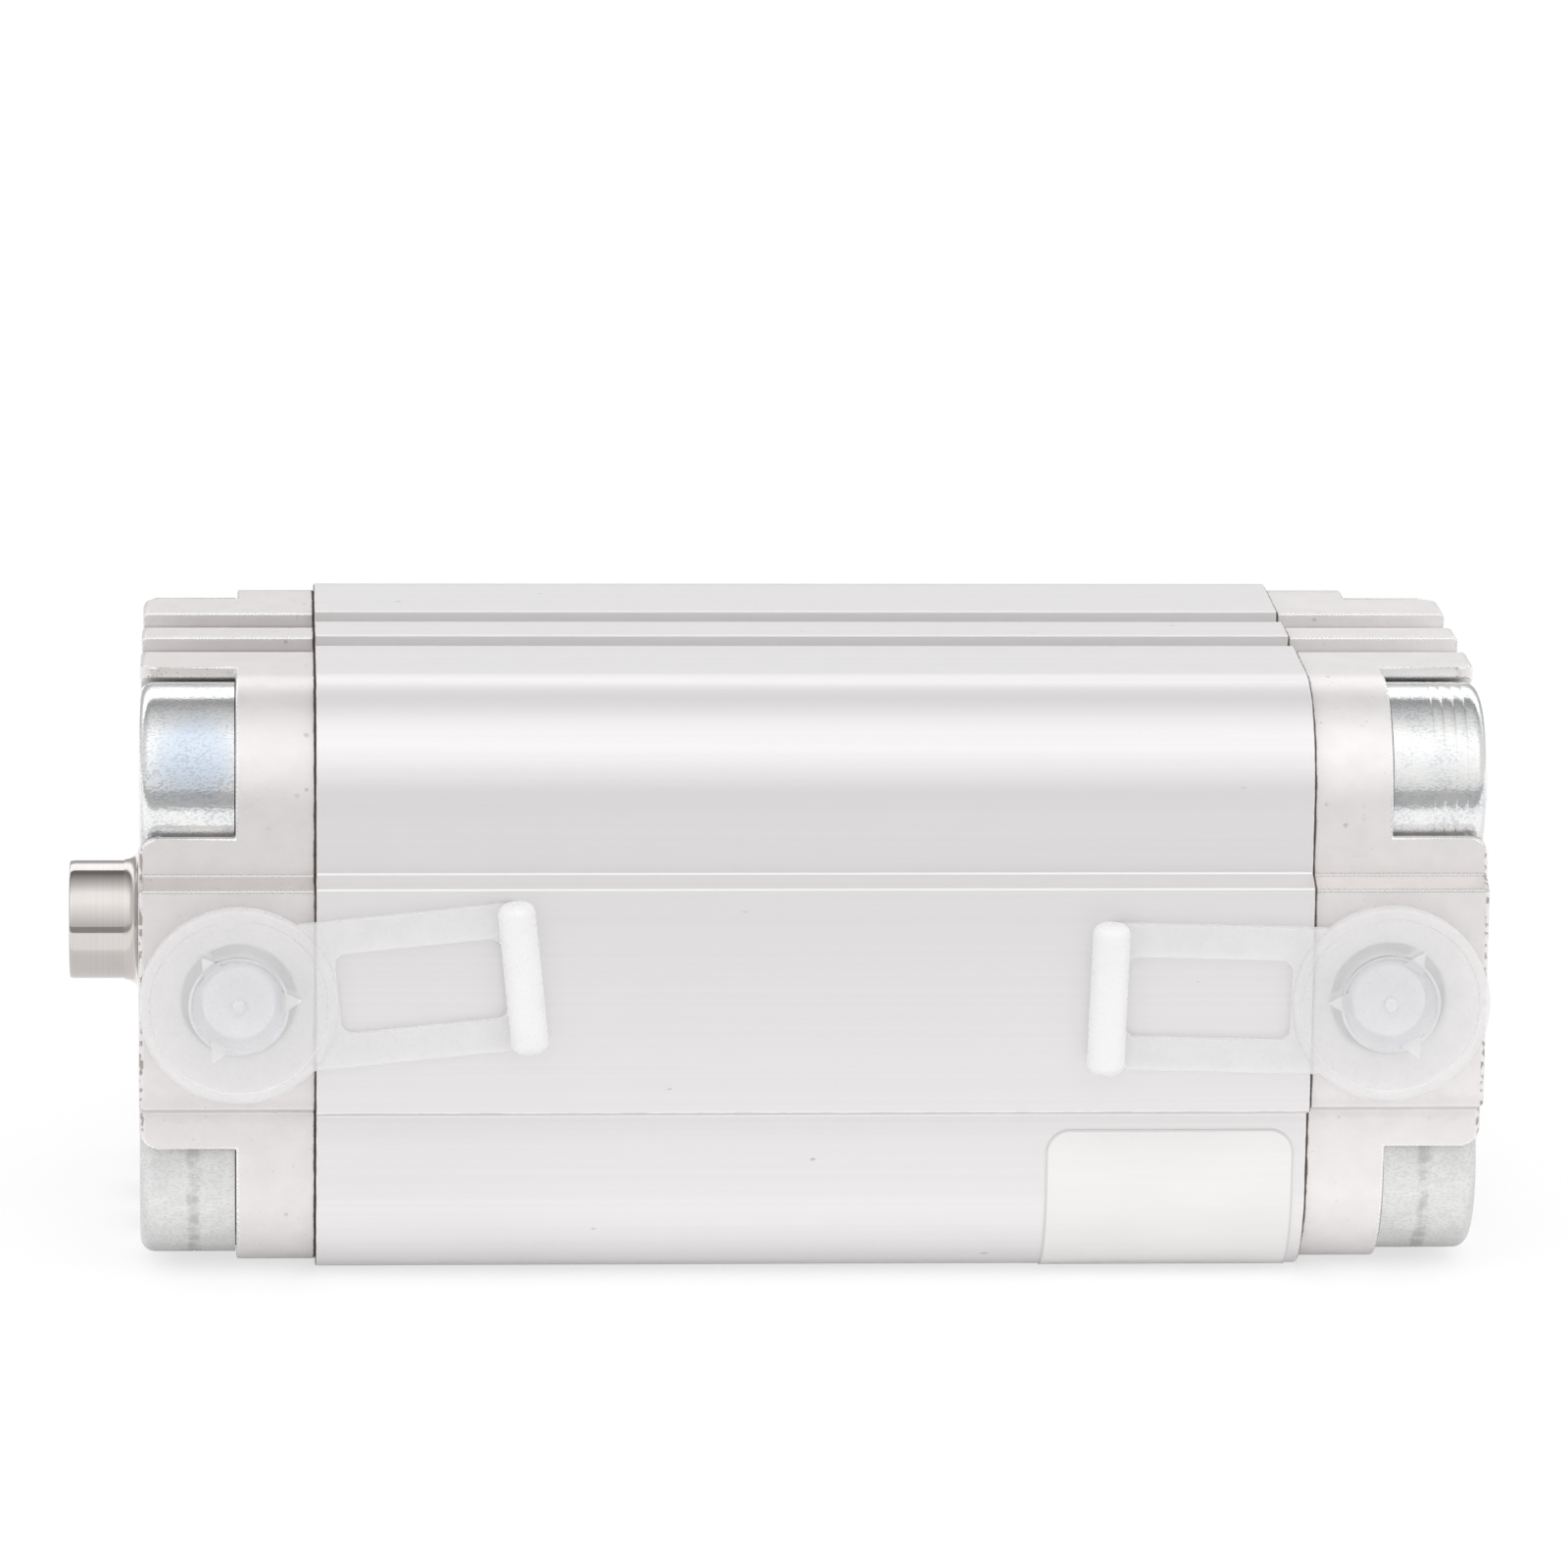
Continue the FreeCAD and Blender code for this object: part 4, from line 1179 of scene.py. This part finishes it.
def grip_rib(name, turn):
    """Pointed rib through the flange, which holds the plug in the mouth of its port."""
    section = [(RIB_ROOT, -RIB_HALF), (RIB_TIP, 0.0), (RIB_ROOT, RIB_HALF)]
    rib = draw(name, [Vector((reach, FLANGE_FACE - BEAD_RISE, aside)) for reach, aside in section])
    select_all()
    bpy.ops.mesh.edge_face_add()
    through = FLANGE_BACK + RIB_HEIGHT - FLANGE_FACE + BEAD_RISE
    bpy.ops.mesh.extrude_region_move(TRANSFORM_OT_translate={"value": (0, through, 0)})
    face_outwards()
    pick("EDGE", lambda edge: min(vertex.co.x for vertex in edge.verts) > RIB_TIP - MERGE)
    bpy.ops.mesh.bevel(offset=PLUG_EDGE, segments=PLUG_EDGE_SEGMENTS, affect="EDGES")
    done()
    rib.data.transform(Matrix.Rotation(-turn, 4, "Y"))
    return rib


def pull_loop(name):
    """Flat frame of the pull tab, along +X from the plug's axis, open between flange and bar."""
    root = FLANGE_RADIUS - TAB_ARM
    loop = added(name, bpy.ops.mesh.primitive_plane_add, size=1.0, rotation=(math.pi / 2, 0, 0))
    bpy.ops.object.transform_apply(location=True, rotation=True, scale=True)
    edit(loop)
    bpy.ops.transform.resize(value=(TAB_REACH - root, 1.0, 2 * TAB_HALF), center_override=(0, 0, 0))
    bpy.ops.transform.translate(value=((TAB_REACH + root) / 2, FLANGE_BACK, 0))
    bpy.ops.mesh.select_mode(type="FACE")
    bpy.ops.mesh.inset(thickness=TAB_ARM)
    bpy.ops.mesh.delete(type="FACE")
    far_edge = TAB_REACH - TAB_ARM
    pick("VERT", lambda vertex: abs(vertex.co.x - far_edge) < MERGE)
    bpy.ops.transform.translate(value=(TAB_ARM - BAR_RADIUS, 0, 0))
    select_all()
    bpy.ops.mesh.extrude_region_move(TRANSFORM_OT_translate={"value": (0, -TAB_THICKNESS, 0)})
    face_outwards()

    def opening_corner(edge):
        first, second = (vertex.co for vertex in edge.verts)
        across = abs(first.y - second.y) > TAB_THICKNESS / 2
        return across and abs(abs(first.z) - (TAB_HALF - TAB_ARM)) < MERGE

    pick("EDGE", opening_corner)
    bpy.ops.mesh.bevel(offset=TAB_CORNER, segments=CORNER_SEGMENTS, affect="EDGES")
    pick("EDGE", lambda edge: edge.is_manifold and edge.calc_face_angle() > SHARP)
    bpy.ops.mesh.bevel(offset=PLUG_EDGE, segments=PLUG_EDGE_SEGMENTS, affect="EDGES")
    done()
    return loop


def grip_bar(name):
    """Round bar across the end of the pull tab."""
    bar = added(
        name, bpy.ops.mesh.primitive_cylinder_add, vertices=BAR_VERTICES, radius=BAR_RADIUS,
        depth=2 * (TAB_HALF + BAR_OVERHANG), location=(TAB_REACH, FLANGE_BACK - BAR_RADIUS, 0))
    bpy.ops.object.transform_apply(location=True, rotation=True, scale=True)
    edit(bar)
    pick("EDGE", lambda edge: abs(edge.verts[0].co.z - edge.verts[1].co.z) < MERGE)
    bpy.ops.mesh.bevel(offset=BAR_END_ROUND, segments=CORNER_SEGMENTS, affect="EDGES")
    done()
    return bar


def plug_zone(place):
    """Finish of a place on the plug: thin ridges look whiter, and the bar is solid."""
    reach = math.hypot(place.x, place.z)
    bead_end = RECESS_RADIUS + BEAD_WIDTH + PLUG_EDGE
    if place.x > TAB_REACH - BAR_RADIUS:
        return PLUG_BAR
    on_nub = reach < NUB_RADIUS + MERGE and place.y < RECESS_FACE - PLUG_EDGE
    on_bead = RECESS_RADIUS - PLUG_EDGE < reach < bead_end and place.y < FLANGE_FACE + MERGE
    on_rim = RIM_INNER < reach < RIM_INNER + PLUG_EDGE and place.y < FLANGE_FACE
    behind = FLANGE_BACK + MERGE < place.y < FLANGE_BACK + RIB_HEIGHT + MERGE
    on_rib = RECESS_RADIUS < reach < RIB_TIP + MERGE and behind
    on_lug = bead_end <= reach < RIB_TIP + MERGE and place.y < FLANGE_FACE - MERGE
    if on_nub or on_bead or on_rim or on_lug or on_rib:
        return PLUG_RIDGE
    return PLUG_CORE if reach < RECESS_RADIUS else PLUG_FLAT


def dress_plugs():
    ends = (
        ("front", PORT_INSET, FRONT_TAB_TURN),
        ("rear", REAR_FACE - PORT_INSET, REAR_TAB_TURN),
    )
    master = plug_body("port_plug")
    unite(master, pull_loop("pull_loop"))
    unite(master, grip_bar("grip_bar"))
    for turn in RIB_TURNS:
        unite(master, grip_rib("grip_rib", turn))
    smooth(master)
    finish_with(master, "milky_plastic", "milky_bar", "milky_rim", "milky_core")
    for face in master.data.polygons:
        face.material_index = plug_zone(face.center)
    for end, place, turn in ends:
        matrix = Matrix.Translation((place, 0, 0)) @ Matrix.Rotation(-turn, 4, "Y")
        plug = copied(master, f"{end}_transport_plug", matrix)
        settle(plug, f"{end}_plug", "milky_plastic", f"port_plug_{end}")
    bpy.data.objects.remove(master)


# Studio: a pale table that glows a little, under soft light in bands of (degrees, level)
FLOOR_SIZE = 6.0
FLOOR_COLOUR = (0.90, 0.90, 0.90)
FLOOR_GLOW = 0.66
FLOOR_SHADE = 0.40
TABLE_FRONT = -0.112
TABLE_FADE = 0.02
TABLE_GLOW = 0.81
UNDER_PIECE = (0.012, 0.030)
MIDDLE = REAR_FACE / 2
UNDER_ENDS = (MIDDLE - 2 * MM, MIDDLE + 2 * MM)
UNDER_SHADE = 0.14
UNDER_ROD = 0.72
STUDIO_LEVEL = 1.6
STUDIO_SIDES = 0.8
STUDIO_BANDS = [
    (0, 0.46), (18, 0.50), (26, 0.90), (31, 1.56), (54.2, 1.58), (55.2, 0.20), (66, 0.23), (95, 0.84),
    (114, 1.36), (130, 1.38), (146, 1.20), (162, 1.00), (174, 0.82), (180, 0.76),
]
SIDE_FADE = (0.6, 0.95)
WHITE = (1.0, 1.0, 1.0)


def pale_floor():
    floor = added(
        "studio_floor", bpy.ops.mesh.primitive_plane_add, size=FLOOR_SIZE,
        location=(MIDDLE, 0, FLOOR_LEVEL))
    material = bpy.data.materials.new("studio_floor")
    material.use_nodes = True
    tree = material.node_tree
    tree.nodes.remove(tree.nodes["Principled BSDF"])
    path = node(tree, "LightPath").outputs
    seen = largest(path["Is Camera Ray"], path["Is Transmission Ray"])
    place = split(node(tree, "TexCoord").outputs["Object"])
    table = ramp(place[1], TABLE_FRONT - TABLE_FADE, TABLE_FRONT, 0.0, TABLE_GLOW)
    under_sides = ramp(size_of(place[1]), *UNDER_PIECE, UNDER_SHADE, 1.0)
    beyond_ends = ramp(size_of(place[0]), *UNDER_ENDS, 0.0, UNDER_ROD)
    mirrored = scaled(table, largest(under_sides, beyond_ends))
    bright = between(seen, mirrored, FLOOR_GLOW)
    lit = node(tree, "BsdfDiffuse", {"Color": FLOOR_COLOUR})
    dim = node(tree, "BsdfDiffuse", {"Color": shaded(WHITE, FLOOR_SHADE)})
    glow = node(tree, "Emission", {"Color": WHITE, "Strength": bright})
    white = node(tree, "AddShader", {0: dim.outputs[0], 1: glow.outputs[0]})
    shown = largest(seen, path["Is Glossy Ray"])
    mix = node(tree, "MixShader", {0: shown, 1: lit.outputs[0], 2: white.outputs[0]})
    feed(tree.nodes["Material Output"].inputs["Surface"], mix.outputs[0])
    floor.data.materials.append(material)


def studio_world():
    """Soft light in bands, counted in degrees from behind, over the top, to the camera's side."""
    world = bpy.data.worlds.new("studio")
    bpy.context.scene.world = world
    world.use_nodes = True
    tree = world.node_tree
    axes = split(node(tree, "TexCoord").outputs["Generated"])
    turn = maths("DIVIDE", maths("ARCTAN2", axes[2], axes[1]), math.pi)
    bands = node(tree, "ValToRGB", {0: turn})
    stops = bands.color_ramp.elements
    while len(stops) < len(STUDIO_BANDS):
        stops.new(0.5)
    for stop, (degrees, _) in zip(stops, STUDIO_BANDS):
        stop.position = degrees / 180
    for stop, (_, level) in zip(stops, STUDIO_BANDS):
        stop.color = (*shaded(WHITE, level / STUDIO_LEVEL), 1.0)
    aside = ramp(size_of(axes[0]), *SIDE_FADE)
    around = blend(aside, bands.outputs[0], shaded(WHITE, STUDIO_SIDES / STUDIO_LEVEL))
    path = node(tree, "LightPath").outputs
    seen = blend(path["Is Camera Ray"], around, shaded(WHITE, 1.0 / STUDIO_LEVEL))
    background = tree.nodes["Background"]
    background.inputs["Strength"].default_value = STUDIO_LEVEL
    feed(background.inputs["Color"], seen)


def photo_camera():
    camera = bpy.data.objects.new("photo_camera", bpy.data.cameras.new("photo_camera"))
    bpy.context.scene.collection.objects.link(camera)
    camera.data.lens = LENS
    camera.data.sensor_width = SENSOR
    camera.location = CAMERA_PLACE
    turn = Matrix.Rotation(-CAMERA_YAW, 4, "Z")
    tilt = Matrix.Rotation(math.pi / 2 - CAMERA_PITCH, 4, "X")
    roll = Matrix.Rotation(CAMERA_ROLL, 4, "Z")
    camera.rotation_euler = (turn @ tilt @ roll).to_euler()
    bpy.context.scene.camera = camera


dress_cad_nodes()
dress_tube()
dress_caps()
dress_screws()
dress_rod()
dress_wiper()
dress_plugs()
pale_floor()
studio_world()
photo_camera()
bpy.context.scene.view_settings.view_transform = "Standard"
